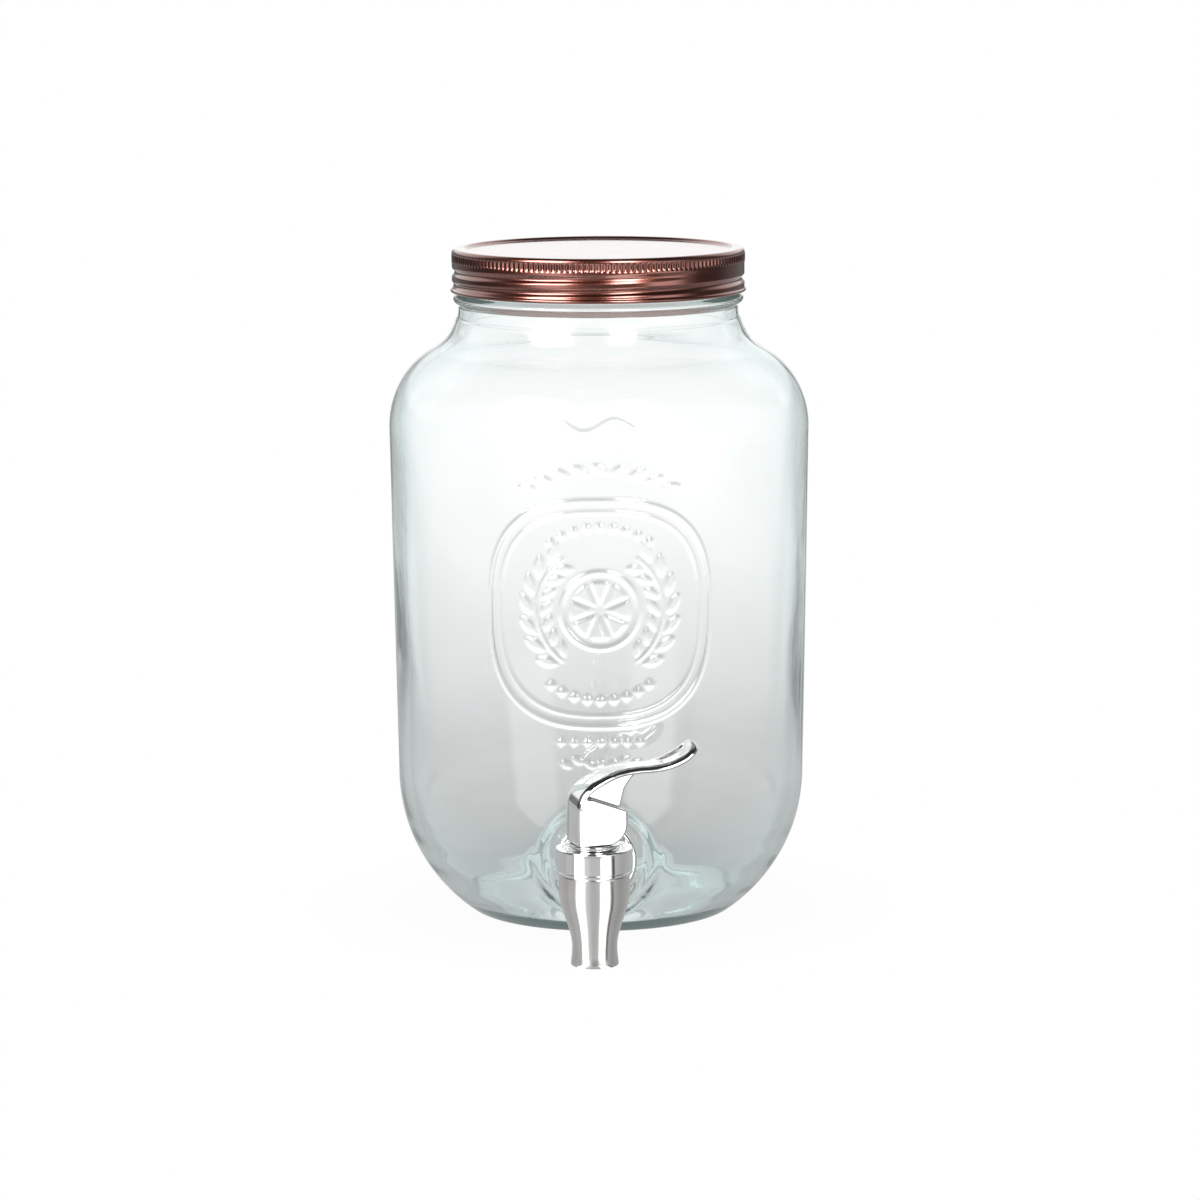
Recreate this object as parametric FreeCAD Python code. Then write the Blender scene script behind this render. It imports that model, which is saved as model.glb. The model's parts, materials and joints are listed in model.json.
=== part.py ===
"""A four-litre glass drinks dispenser: a wide-mouth jar, a screw lid and a lever tap.

Millimetres, +Z up. The origin is on the jar's axis in the plane it stands on, and the tap faces -Y.
Each function builds one piece as a closed solid, and the last lines write one STEP per piece.
"""

import FreeCAD, Part
import math
import os

from FreeCAD import Vector

# ---- driving dimensions -------------------------------------------------------------------------

# Jar, as radii about Z and heights above the table
HEEL_CENTRE = (13.2, 55.0)  # the arc that turns the wall into the base
HEEL_R = 66.5
FOOT_R = 6.0  # rounding between the heel and the standing ring
RING_INNER_R = 42.0  # inner edge of the flat standing ring
PUSH_UP = 3.2  # height of the hollow under the base
SHOULDER_CENTRE = (47.0, 191.0)
SHOULDER_R = 35.0
NECK_R = 54.4
NECK_FILLET_R = 18.0
WALL = 3.8
HEEL_WALL = 4.6
FLOOR_Z = 7.2
FLOOR_DOME = 1.6
NECK_BORE_R = 50.0
MOUTH_R = 49.2
BEAD_Z = 240.9  # transfer bead under the lid
BEAD_R = 56.5
BEAD_HALF = 2.0
FINISH_R = 53.4  # plain cylinder that the thread stands on
RIM_Z = 258.0
RIM_ROUND = 1.4
THREAD_PITCH = 5.08  # five turns to the inch
THREAD_CREST_R = 55.0
THREAD_SECTION_R = 1.5
THREAD_START_Z = 246.6
THREAD_TURNS = 1.2

# Lid
LID_TOP_Z = 260.5
LID_BAND_R = 57.0
LID_SHEET = 0.5
LID_CORNER_R = 1.6
LID_PANEL_R = 51.4
LID_SKIRT = [(254.3, 57.0), (252.8, 56.1), (250.2, 56.9), (247.4, 56.1), (245.0, 57.0)]
HEM_CENTRE = (56.85, 244.3)
HEM_R = 0.75
LINER = 1.1
LINER_INNER_R = 47.6
LINER_OUTER_R = 55.2

# Tap hole and the flat moulded around it
HOLE_Z = 35.0
HOLE_R = 8.5
PAD_Y = -79.0  # outer flat
PAD_R = 17.5
PAD_THICK = 7.0
BOSS_BACK_Y = -60.0
BOSS_BACK_R = 27.0
WASHER = 2.0
WASHER_OUTER_R = 14.2

# Tap body: a ring on a vertical axis, a neck, a flange and a shank
TAP_Y = -108.0
RING_R = 14.4
RING_LOW_Z = 36.3
RING_TOP_Z = 46.0
RING_EDGE = 0.5
SPIGOT_R = 10.55
SPIGOT_LOW_Z = 24.0
CHAMBER_R = 8.6
BONNET_BORE_R = 10.2
BONNET_SHELF_Z = 38.6
NECK_TUBE_R = 6.0
FLANGE_R = 15.5
FLANGE = 3.0
SHANK_R = 7.9
SHANK_END_Y = -54.0
PASSAGE_R = 3.8
NUT = 7.0
NUT_ACROSS_FLATS = 23.0
NUT_BORE_R = 7.95
NUT_FLANGE_R = 13.6
NUT_FLANGE = 2.0

# Outlet nozzle: a sleeve pushed up over the spigot, as heights and outer radii
NOZZLE_TOP_Z = 36.3
NOZZLE_OUTLINE = [
    (36.3, 13.1),
    (32.0, 13.3),
    (28.4, 13.2),
    (24.4, 12.6),
    (20.4, 11.4),
    (16.3, 10.0),
    (12.5, 8.95),
    (9.0, 8.45),
    (5.5, 8.55),
    (2.0, 8.95),
]
OUTLET_Z = 1.2
OUTLET_R = 7.2
SOCKET_R = 10.6
SHELF_Z = 22.1
SEAT_TOP_R = 8.6
THROAT_R = 5.0
THROAT_Z = 18.5
NOTCH_R = 6.1
O_RING_R = 0.95

# Bonnet, stem, seal and spring
BOSS_R = 9.6
BOSS_TOP_Z = 47.5
BONNET_TOP_Z = 45.2
STEM_R = 2.6
STEM_HOLE_R = 2.68
STEM_LOW_Z = 19.4
SPRING_WASHER = 0.8
SPRING_WASHER_R = 7.4
SPRING_SEAT_Z = 24.4
SPRING_MEAN_R = 5.4
SPRING_WIRE_R = 0.45
SPRING_TURNS = 6.0
CUP_LOW_Z = 17.7
CUP_R = 8.1
CUP_CLEAR = 0.05
STEM_SEAL_Z = 41.8
STEM_SEAL_R = 0.8
STEM_SEAL_CLEAR = 0.05
BONNET_SEAL_Z = 41.8
BONNET_SEAL_R = 0.8

# Lever, in its own frame: x along the handle and z up from the flat of the cheeks
LEVER_YAW = 23.0  # the handle points to the right and a little back
HEAD_GAP = 0.15  # between the cheeks and the bonnet's boss
PIVOT_H = 7.6  # pivot above the flat of the cheeks, and the radius of their nose
NOSE_AHEAD = 3.3  # how far the middle of the nose is ahead of the pivot
HEAD_BACK = 9.1
HEAD_HALF_W = 7.5
SLOT_HALF_W = 3.1
SLOT_BACK = 6.0
SLOT_TOP = 13.2
WEB_HALF_W = 2.6
STRIP_HALF_T = 1.2
STRIP_PATH = [
    (-7.7, 10.5),
    (-7.5, 15.0),
    (-6.2, 18.6),
    (-3.2, 21.6),
    (2.0, 24.2),
    (8.0, 26.2),
    (15.5, 27.0),
    (22.0, 27.0),
    (28.2, 27.8),
    (34.2, 30.0),
    (38.0, 32.8),
    (40.0, 35.2),
]
PIN_R = 1.5
PIN_HALF_L = 5.4
SOCKET_DEPTH = 5.6
TANG_HALF_W = 3.0
TANG_R = 3.6

HEAD_Z = BOSS_TOP_Z + HEAD_GAP
FLANGE_BACK_Y = PAD_Y - WASHER
FLANGE_FRONT_Y = FLANGE_BACK_Y - FLANGE
PAD_INNER_Y = PAD_Y + PAD_THICK
NUT_FACE_Y = PAD_INNER_Y + WASHER

# ---- small helpers ------------------------------------------------------------------------------


def rz(r, z):
    """A point of a flat outline, by its distance along X and its height."""
    return Vector(r, 0, z)


def line(a, b):
    return Part.LineSegment(a, b).toShape()


def arc(a, middle, b):
    return Part.Arc(a, middle, b).toShape()


def arc_about(centre, radius, start, end):
    """An arc in the XZ plane between two angles in radians, measured from +X towards +Z."""

    def at(angle):
        return rz(centre[0] + radius * math.cos(angle), centre[1] + radius * math.sin(angle))

    return arc(at(start), at((start + end) / 2), at(end))


def smooth(points):
    """A smooth curve through points."""
    curve = Part.BSplineCurve()
    curve.interpolate(list(points))
    return curve.toShape()


def ends(edge):
    return edge.valueAt(edge.FirstParameter), edge.valueAt(edge.LastParameter)


def outline(pieces):
    """Joins edges and loose points into one closed flat face, with straight runs between them."""
    edges = []
    first = None
    last = None
    for piece in pieces:
        start, end = ends(piece) if isinstance(piece, Part.Edge) else (piece, piece)
        if last is not None and (start - last).Length > 1e-6:
            edges.append(line(last, start))
        if isinstance(piece, Part.Edge):
            edges.append(piece)
        if first is None:
            first = start
        last = end
    if (last - first).Length > 1e-6:
        edges.append(line(last, first))
    return Part.Face(Part.Wire(edges))


def turned(pieces, axis_y=0.0):
    """A solid of revolution about the vertical axis at y = axis_y."""
    solid = outline(pieces).revolve(Vector(0, 0, 0), Vector(0, 0, 1), 360)
    solid.translate(Vector(0, axis_y, 0))
    return solid


def plate(pieces, half_width):
    """A flat outline in the XZ plane made thick, half_width to each side."""
    solid = outline(pieces).extrude(Vector(0, 2 * half_width, 0))
    solid.translate(Vector(0, -half_width, 0))
    return solid


def rod(radius, start, end):
    """A cylinder from one point to another."""
    along = end - start
    return Part.makeCylinder(radius, along.Length, start, along)


def ring(outer, inner, start, end):
    return rod(outer, start, end).cut(rod(inner, start, end))


def hole_point(y):
    """A point on the axis of the tap hole."""
    return Vector(0, y, HOLE_Z)


def tap_point(z):
    """A point on the vertical axis of the tap."""
    return Vector(0, TAP_Y, z)


def place_on_stem(shape):
    """Moves a shape from the lever's own frame to the top of the stem."""
    shape.rotate(Vector(0, 0, 0), Vector(0, 0, 1), LEVER_YAW)
    shape.translate(tap_point(HEAD_Z))
    return shape


def one_solid(shape):
    shape = shape.removeSplitter()
    return shape.Solids[0] if len(shape.Solids) == 1 else shape


# ---- jar ----------------------------------------------------------------------------------------


def wall_angle(heel_r, shoulder_r):
    """Angle below horizontal of the normal to the line that touches both the heel and shoulder."""
    dx = SHOULDER_CENTRE[0] - HEEL_CENTRE[0]
    dz = SHOULDER_CENTRE[1] - HEEL_CENTRE[1]
    return math.acos((heel_r - shoulder_r) / math.hypot(dx, dz)) - math.atan2(dz, dx)


def jar_side(heel_r, shoulder_r, fillet_r, neck_r, heel_start):
    """The edges from the heel up to the neck, for the outside or the inside of the wall."""
    lean = wall_angle(heel_r, shoulder_r)
    dx = neck_r + fillet_r - SHOULDER_CENTRE[0]
    dz = math.sqrt((shoulder_r + fillet_r) ** 2 - dx**2)
    fillet_centre = (neck_r + fillet_r, SHOULDER_CENTRE[1] + dz)
    angle = math.atan2(dz, dx)
    return [
        arc_about(HEEL_CENTRE, heel_r, heel_start, lean),
        arc_about(SHOULDER_CENTRE, shoulder_r, lean, angle),
        arc_about(fillet_centre, fillet_r, angle - math.pi, -math.pi),
    ]


def jar_outside():
    foot_r = HEEL_CENTRE[0] + math.sqrt((HEEL_R - FOOT_R) ** 2 - (HEEL_CENTRE[1] - FOOT_R) ** 2)
    heel_start = math.atan2(FOOT_R - HEEL_CENTRE[1], foot_r - HEEL_CENTRE[0])
    bead_top = rz(FINISH_R, BEAD_Z + BEAD_HALF)
    return turned(
        [
            arc(rz(0, PUSH_UP), rz(RING_INNER_R / 2, 0.75 * PUSH_UP), rz(RING_INNER_R, 0)),
            arc_about((foot_r, FOOT_R), FOOT_R, -math.pi / 2, heel_start),
            *jar_side(HEEL_R, SHOULDER_R, NECK_FILLET_R, NECK_R, heel_start),
            arc(rz(NECK_R, BEAD_Z - BEAD_HALF), rz(BEAD_R, BEAD_Z), bead_top),
            arc_about((FINISH_R - RIM_ROUND, RIM_Z - RIM_ROUND), RIM_ROUND, 0, math.pi / 2),
            rz(0, RIM_Z),
        ]
    )


def jar_inside():
    """The space that holds the drink, open past the rim."""
    heel_r = HEEL_R - HEEL_WALL
    floor_edge = HEEL_CENTRE[0] + math.sqrt(heel_r**2 - (HEEL_CENTRE[1] - FLOOR_Z) ** 2)
    heel_start = math.atan2(FLOOR_Z - HEEL_CENTRE[1], floor_edge - HEEL_CENTRE[0])
    fillet_r = NECK_FILLET_R + NECK_R - NECK_BORE_R
    top = rz(0, FLOOR_Z + FLOOR_DOME)
    half_way = rz(floor_edge / 2, FLOOR_Z + 0.75 * FLOOR_DOME)
    return turned(
        [
            arc(top, half_way, rz(floor_edge, FLOOR_Z)),
            *jar_side(heel_r, SHOULDER_R - WALL, fillet_r, NECK_BORE_R, heel_start),
            arc_about((MOUTH_R + RIM_ROUND, RIM_Z - RIM_ROUND), RIM_ROUND, math.pi, math.pi / 2),
            rz(MOUTH_R + RIM_ROUND, RIM_Z + 5),
            rz(0, RIM_Z + 5),
        ]
    )


def jar_thread():
    """A round-section thread of a little over one turn on the outside of the finish."""
    seat = THREAD_CREST_R - THREAD_SECTION_R
    path = Part.makeHelix(THREAD_PITCH, THREAD_PITCH * THREAD_TURNS, seat)
    section = Part.Wire(Part.makeCircle(THREAD_SECTION_R, Vector(seat, 0, 0), Vector(0, 1, 0)))
    thread = Part.Wire(path).makePipeShell([section], True, True)
    thread.translate(Vector(0, 0, THREAD_START_Z))
    return thread


def glass_jar():
    """Moulded glass: the wall, the thread, and a flat boss bored for the tap."""
    deep = BOSS_BACK_Y - PAD_Y
    boss = Part.makeCone(PAD_R, BOSS_BACK_R, deep, hole_point(PAD_Y), Vector(0, 1, 0))
    outer_flat = rod(PAD_R, hole_point(PAD_Y), hole_point(PAD_Y - 10))
    pad = rod(PAD_R, hole_point(PAD_Y), hole_point(PAD_INNER_Y))
    inner_flat = rod(PAD_R - 1, hole_point(PAD_INNER_Y), hole_point(PAD_INNER_Y + 20))
    hole = rod(HOLE_R, hole_point(PAD_Y - 10), hole_point(PAD_INNER_Y + 10))
    glass = jar_outside().fuse(jar_thread()).fuse(boss).cut(outer_flat).cut(jar_inside())
    return one_solid(glass.fuse(pad).cut(inner_flat).cut(hole))


# ---- lid ----------------------------------------------------------------------------------------


def lid_shell():
    """Pressed sheet: a sunk panel, a raised rim, a band, two rolled grooves and a curled hem."""
    panel_z = RIM_Z + LINER
    rise = LID_TOP_Z - LID_SHEET - panel_z
    corner = (LID_BAND_R - LID_CORNER_R, LID_TOP_Z - LID_CORNER_R)
    skirt = [rz(r, z) for z, r in LID_SKIRT]
    skirt_inside = [rz(r - LID_SHEET, z) for z, r in reversed(LID_SKIRT)]
    return one_solid(
        turned(
            [
                rz(0, panel_z + LID_SHEET),
                rz(LID_PANEL_R, panel_z + LID_SHEET),
                rz(LID_PANEL_R + rise, LID_TOP_Z),
                arc_about(corner, LID_CORNER_R, math.pi / 2, 0),
                smooth(skirt),
                arc_about(HEM_CENTRE, HEM_R, math.pi / 4, -7 * math.pi / 6),
                smooth(skirt_inside),
                arc_about(corner, LID_CORNER_R - LID_SHEET, 0, math.pi / 2),
                rz(LID_PANEL_R + rise + 0.3, LID_TOP_Z - LID_SHEET),
                rz(LID_PANEL_R + 0.3, panel_z),
                rz(0, panel_z),
            ]
        )
    )


def lid_liner():
    """Soft sealing ring between the lid's panel and the glass rim."""
    return ring(LINER_OUTER_R, LINER_INNER_R, rz(0, RIM_Z), rz(0, RIM_Z + LINER))


# ---- tap ----------------------------------------------------------------------------------------


def tap_body():
    """One plated casting: ring, spigot, neck, flange and shank, with its water passage."""
    collar = rod(RING_R, tap_point(RING_LOW_Z), tap_point(RING_TOP_Z))
    collar = collar.makeChamfer(RING_EDGE, collar.Edges)
    spigot = rod(SPIGOT_R, tap_point(SPIGOT_LOW_Z), tap_point(RING_LOW_Z + 1))
    neck = rod(NECK_TUBE_R, hole_point(TAP_Y + CHAMBER_R), hole_point(FLANGE_BACK_Y))
    flange = rod(FLANGE_R, hole_point(FLANGE_FRONT_Y), hole_point(FLANGE_BACK_Y))
    front_edge = [e for e in flange.Edges if abs(e.CenterOfMass.y - FLANGE_FRONT_Y) < 0.01]
    flange = flange.makeFillet(1.2, front_edge)
    shank = rod(SHANK_R, hole_point(FLANGE_BACK_Y), hole_point(SHANK_END_Y))
    body = collar.fuse(spigot).fuse(neck).fuse(flange).fuse(shank)
    body = body.cut(rod(CHAMBER_R, tap_point(SPIGOT_LOW_Z - 1), tap_point(RING_TOP_Z + 1)))
    body = body.cut(rod(BONNET_BORE_R, tap_point(BONNET_SHELF_Z), tap_point(RING_TOP_Z + 1)))
    body = body.cut(rod(PASSAGE_R, hole_point(TAP_Y), hole_point(SHANK_END_Y + 1)))
    return one_solid(body)


def outlet_nozzle():
    """The barrel under the ring: a conical seat inside and a notch that straddles the neck."""
    barrel = turned(
        [
            smooth(rz(r, z) for z, r in NOZZLE_OUTLINE),
            rz(NOZZLE_OUTLINE[-1][1] - 0.5, OUTLET_Z),
            rz(OUTLET_R, OUTLET_Z),
            rz(THROAT_R, THROAT_Z - 10),
            rz(THROAT_R, THROAT_Z),
            rz(SEAT_TOP_R, SHELF_Z),
            rz(SOCKET_R, SHELF_Z),
            rz(SOCKET_R, NOZZLE_TOP_Z),
        ],
        TAP_Y,
    )
    behind = hole_point(TAP_Y + 5)
    notch = rod(NOTCH_R, behind, hole_point(TAP_Y + 20))
    notch = notch.fuse(Part.makeBox(2 * NOTCH_R, 15, 10, behind - Vector(NOTCH_R, 0, 0)))
    return one_solid(barrel.cut(notch))


def nozzle_o_ring():
    """Seals the end of the spigot against the shelf in the nozzle."""
    centre = tap_point(SHELF_Z + O_RING_R)
    return Part.makeTorus(SOCKET_R - O_RING_R - 0.05, O_RING_R, centre, Vector(0, 0, 1))


def groove(wall_r, far_r, z, half_height):
    """A turned groove, from just past the wall it is cut in to its far radius."""
    low = tap_point(z - half_height)
    return ring(max(wall_r, far_r), min(wall_r, far_r), low, low + rz(0, 2 * half_height))


def bonnet():
    """The plug in the top of the ring; the lever's cheeks bear on its raised boss."""
    plug = turned(
        [
            rz(STEM_HOLE_R, BONNET_SHELF_Z),
            rz(BONNET_BORE_R, BONNET_SHELF_Z),
            rz(BONNET_BORE_R, BONNET_TOP_Z),
            rz(BOSS_R, BONNET_TOP_Z),
            rz(BOSS_R, BOSS_TOP_Z - 0.4),
            rz(BOSS_R - 0.4, BOSS_TOP_Z),
            rz(STEM_HOLE_R, BOSS_TOP_Z),
        ],
        TAP_Y,
    )
    stem_groove_r = STEM_R + STEM_SEAL_CLEAR + 2 * STEM_SEAL_R
    outer_groove_r = BONNET_BORE_R - 2 * BONNET_SEAL_R
    plug = plug.cut(groove(STEM_HOLE_R - 0.1, stem_groove_r, STEM_SEAL_Z, STEM_SEAL_R))
    plug = plug.cut(groove(BONNET_BORE_R + 1, outer_groove_r, BONNET_SEAL_Z, BONNET_SEAL_R))
    return one_solid(plug)


def stem_o_ring():
    """Seals the stem where it slides and turns in the bonnet."""
    mean_r = STEM_R + STEM_SEAL_CLEAR + STEM_SEAL_R
    return Part.makeTorus(mean_r, STEM_SEAL_R, tap_point(STEM_SEAL_Z), Vector(0, 0, 1))


def bonnet_o_ring():
    """Seals the bonnet in the bore of the ring."""
    mean_r = BONNET_BORE_R - BONNET_SEAL_R
    return Part.makeTorus(mean_r, BONNET_SEAL_R, tap_point(BONNET_SEAL_Z), Vector(0, 0, 1))


def valve_stem():
    """A round stem with a flat tang at the top, cross-drilled for the pin."""
    stem = rod(STEM_R, rz(0, STEM_LOW_Z - HEAD_Z), rz(0, 1))
    tang = plate(
        [rz(-TANG_R, 0.2), rz(TANG_R, 0.2), arc_about((0, PIVOT_H), TANG_R, 0, math.pi)],
        TANG_HALF_W,
    )
    hole = rod(PIN_R, Vector(0, -10, PIVOT_H), Vector(0, 10, PIVOT_H))
    return one_solid(place_on_stem(stem.fuse(tang).cut(hole)))


def pivot_pin():
    """Pressed through the tang; the cheeks of the lever snap over its ends."""
    return place_on_stem(
        rod(PIN_R, Vector(0, -PIN_HALF_L, PIVOT_H), Vector(0, PIN_HALF_L, PIVOT_H))
    )


def seat_cup():
    """Silicone cup on the foot of the stem; its cone closes the throat."""
    slope = (SHELF_Z - THROAT_Z) / (SEAT_TOP_R - THROAT_R)
    foot_r = THROAT_R - 0.6
    bore_r = STEM_R + CUP_CLEAR
    return one_solid(
        turned(
            [
                rz(0, CUP_LOW_Z),
                rz(foot_r, CUP_LOW_Z),
                rz(foot_r, THROAT_Z),
                rz(THROAT_R, THROAT_Z),
                rz(CUP_R, THROAT_Z + slope * (CUP_R - THROAT_R)),
                rz(CUP_R, SPRING_SEAT_Z - 1),
                rz(CUP_R - 1, SPRING_SEAT_Z),
                rz(bore_r, SPRING_SEAT_Z),
                rz(bore_r, STEM_LOW_Z - CUP_CLEAR),
                rz(0, STEM_LOW_Z - CUP_CLEAR),
            ],
            TAP_Y,
        )
    )


def spring_washer():
    """Stainless washer pressed on the stem, between the seat cup and the spring."""
    low = tap_point(SPRING_SEAT_Z)
    return ring(SPRING_WASHER_R, STEM_R, low, low + rz(0, SPRING_WASHER))


def valve_spring():
    """Compression spring that holds the seat cup down."""
    low = SPRING_SEAT_Z + SPRING_WASHER + SPRING_WIRE_R
    high = BONNET_SHELF_Z - SPRING_WIRE_R
    path = Part.makeHelix((high - low) / SPRING_TURNS, high - low, SPRING_MEAN_R)
    wire = Part.makeCircle(SPRING_WIRE_R, Vector(SPRING_MEAN_R, 0, 0), Vector(0, 1, 0))
    coil = Part.Wire(path).makePipeShell([Part.Wire(wire)], True, True)
    coil.translate(tap_point(low))
    return coil


def strip_outline():
    """Both faces of the handle, offset square to its middle line."""
    upper = []
    lower = []
    last = len(STRIP_PATH) - 1
    for i, (x, z) in enumerate(STRIP_PATH):
        before = STRIP_PATH[max(i - 1, 0)]
        after = STRIP_PATH[min(i + 1, last)]
        run = math.hypot(after[0] - before[0], after[1] - before[1])
        normal_x = -(after[1] - before[1]) / run * STRIP_HALF_T
        normal_z = (after[0] - before[0]) / run * STRIP_HALF_T
        upper.append(rz(x + normal_x, z + normal_z))
        lower.append(rz(x - normal_x, z - normal_z))
    return [smooth(upper), smooth(reversed(lower))]


def lever():
    """Two cheeks joined by a curved back, a web and a long S-shaped handle."""
    head = plate(
        [
            rz(-HEAD_BACK, 0),
            arc_about((NOSE_AHEAD, PIVOT_H), PIVOT_H, -math.pi / 2, 0),
            rz(NOSE_AHEAD + PIVOT_H - 0.5, 12.8),
            rz(-3.9, 18.0),
            rz(-HEAD_BACK, 11.5),
        ],
        HEAD_HALF_W,
    )
    web = plate(
        [
            rz(-5.0, 17.0),
            rz(-4.0, 20.2),
            rz(8.0, 25.6),
            arc(rz(18.0, 26.4), rz(11.5, 20.2), rz(9.6, 12.4)),
            rz(8.0, 12.0),
        ],
        WEB_HALF_W,
    )
    body = head.fuse(web).fuse(plate(strip_outline(), HEAD_HALF_W))
    slot_corner = Vector(-SLOT_BACK, -SLOT_HALF_W, -1)
    slot_long = SLOT_BACK + NOSE_AHEAD + PIVOT_H + 2
    body = body.cut(Part.makeBox(slot_long, 2 * SLOT_HALF_W, SLOT_TOP + 1, slot_corner))
    inner = Vector(0, -SOCKET_DEPTH, PIVOT_H)
    body = body.cut(rod(PIN_R + 0.05, inner, inner + Vector(0, 2 * SOCKET_DEPTH, 0)))
    return one_solid(place_on_stem(body))


# ---- fixings ------------------------------------------------------------------------------------


def outer_washer():
    return ring(WASHER_OUTER_R, SHANK_R + 0.1, hole_point(FLANGE_BACK_Y), hole_point(PAD_Y))


def inner_washer():
    return ring(WASHER_OUTER_R, SHANK_R + 0.1, hole_point(PAD_INNER_Y), hole_point(NUT_FACE_Y))


def lock_nut():
    """Flanged hexagon nut that pulls the tap against the glass from inside."""
    corner = NUT_ACROSS_FLATS / math.sqrt(3)
    angles = [i * math.pi / 3 for i in range(6)]
    face = hole_point(NUT_FACE_Y)
    hexagon = [face + rz(corner * math.cos(a), corner * math.sin(a)) for a in angles]
    nut = outline(hexagon).extrude(Vector(0, NUT, 0))
    nut = nut.fuse(rod(NUT_FLANGE_R, face, hole_point(NUT_FACE_Y + NUT_FLANGE)))
    bore = rod(NUT_BORE_R, hole_point(NUT_FACE_Y - 1), hole_point(NUT_FACE_Y + NUT + 1))
    return one_solid(nut.cut(bore))


PIECES = [
    glass_jar,
    lid_shell,
    lid_liner,
    tap_body,
    outlet_nozzle,
    nozzle_o_ring,
    bonnet,
    bonnet_o_ring,
    stem_o_ring,
    valve_stem,
    spring_washer,
    valve_spring,
    seat_cup,
    lever,
    pivot_pin,
    outer_washer,
    inner_washer,
    lock_nut,
]

os.makedirs("parts", exist_ok=True)
for piece in PIECES:
    piece().exportStep("parts/" + piece.__name__ + ".step")
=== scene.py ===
"""Looks for a glass drinks dispenser with a copper-coloured screw lid and a chromed lever tap."""

import json
import math

import bpy
import numpy as np
from mathutils import Matrix, Vector

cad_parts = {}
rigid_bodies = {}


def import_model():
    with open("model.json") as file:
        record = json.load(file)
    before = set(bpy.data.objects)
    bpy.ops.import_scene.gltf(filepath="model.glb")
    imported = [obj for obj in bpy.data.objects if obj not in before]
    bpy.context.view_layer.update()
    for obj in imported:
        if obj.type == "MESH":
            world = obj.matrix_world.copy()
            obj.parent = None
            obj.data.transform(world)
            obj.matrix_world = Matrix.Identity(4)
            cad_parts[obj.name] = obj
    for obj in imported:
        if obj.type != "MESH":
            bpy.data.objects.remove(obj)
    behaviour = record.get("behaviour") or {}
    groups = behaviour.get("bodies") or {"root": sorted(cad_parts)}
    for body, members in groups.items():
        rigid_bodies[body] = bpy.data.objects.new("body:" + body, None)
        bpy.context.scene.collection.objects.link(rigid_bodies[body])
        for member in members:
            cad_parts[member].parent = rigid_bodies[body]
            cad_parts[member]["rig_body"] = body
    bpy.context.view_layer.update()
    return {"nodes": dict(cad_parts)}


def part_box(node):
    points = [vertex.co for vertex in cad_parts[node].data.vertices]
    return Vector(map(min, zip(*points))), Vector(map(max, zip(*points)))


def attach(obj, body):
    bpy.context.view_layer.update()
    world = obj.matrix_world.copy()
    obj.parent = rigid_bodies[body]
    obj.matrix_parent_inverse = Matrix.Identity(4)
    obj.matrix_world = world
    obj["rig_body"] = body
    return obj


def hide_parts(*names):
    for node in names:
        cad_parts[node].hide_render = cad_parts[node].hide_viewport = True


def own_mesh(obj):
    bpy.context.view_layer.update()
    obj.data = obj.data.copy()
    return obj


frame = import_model()

MM = 0.001
FRONT = -math.pi / 2  # the direction of the tap, as an angle about the jar's axis


def box_mm(node):
    low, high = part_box(node)
    return np.array(low) / MM, np.array(high) / MM


JAR_TOP = box_mm("glass_jar")[1][2]
LID_TOP = box_mm("lid_shell")[1][2]
BONNET_LOW, BONNET_HIGH = box_mm("bonnet")
SHANK_END = box_mm("tap_body")[1][1]
NOZZLE_END = box_mm("outlet_nozzle")[0][2]
WASHER_LOW, WASHER_HIGH = box_mm("outer_washer")
INNER_LOW, INNER_HIGH = box_mm("inner_washer")
NUT_LOW, NUT_HIGH = box_mm("lock_nut")

TAP_Y = (BONNET_LOW[1] + BONNET_HIGH[1]) / 2
HOLE_Z = (WASHER_LOW[2] + WASHER_HIGH[2]) / 2
PAD_Y = WASHER_HIGH[1]
PAD_INNER_Y = INNER_LOW[1]

# ---- small helpers ----


def smoothstep(x, low, high):
    t = np.clip((x - low) / (high - low), 0.0, 1.0)
    return t * t * (3 - 2 * t)


def arc(centre, radius, start, end, step=3.0):
    """Points in order along an arc, angles in degrees."""
    n = max(2, int(abs(end - start) / step) + 1)
    a = np.radians(np.linspace(start, end, n))
    return [(centre[0] + radius * math.cos(t), centre[1] + radius * math.sin(t)) for t in a]


def resample(points, spacing):
    """The same line with points at even steps, no longer than spacing."""
    return even(points, max(1, int(math.ceil(run(points)[-1] / spacing))))


def run(points):
    """How far along its line each point lies."""
    return np.concatenate([[0], np.cumsum(np.hypot(*np.diff(points, axis=0).T))])


def even(points, n):
    """The same line in n equal steps."""
    points = np.asarray(points, float)
    length = run(points)
    at = np.linspace(0, length[-1], n + 1)
    return np.stack([np.interp(at, length, points[:, k]) for k in range(2)], axis=1)


def spline(points, n):
    """A smooth line through the points (Catmull-Rom), n steps between neighbours."""
    p = np.asarray(points, float)
    p = np.vstack([2 * p[0] - p[1], p, 2 * p[-1] - p[-2]])
    out = []
    for i in range(1, len(p) - 2):
        for t in np.linspace(0, 1, n, endpoint=False):
            a = 2 * p[i]
            b = (p[i + 1] - p[i - 1]) * t
            c = (2 * p[i - 1] - 5 * p[i] + 4 * p[i + 1] - p[i + 2]) * t * t
            d = (3 * p[i] - p[i - 1] - 3 * p[i + 1] + p[i + 2]) * t**3
            out.append((a + b + c + d) / 2)
    out.append(p[-2])
    return np.array(out)


def add(name, data):
    obj = bpy.data.objects.new(name, data)
    bpy.context.scene.collection.objects.link(obj)
    return obj


def mesh_object(name, points, faces, sharp=40.0):
    mesh = bpy.data.meshes.new(name)
    mesh.from_pydata((np.asarray(points) * MM).tolist(), [], faces)
    mesh.update()
    shade(mesh, sharp)
    return add(name, mesh)


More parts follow.
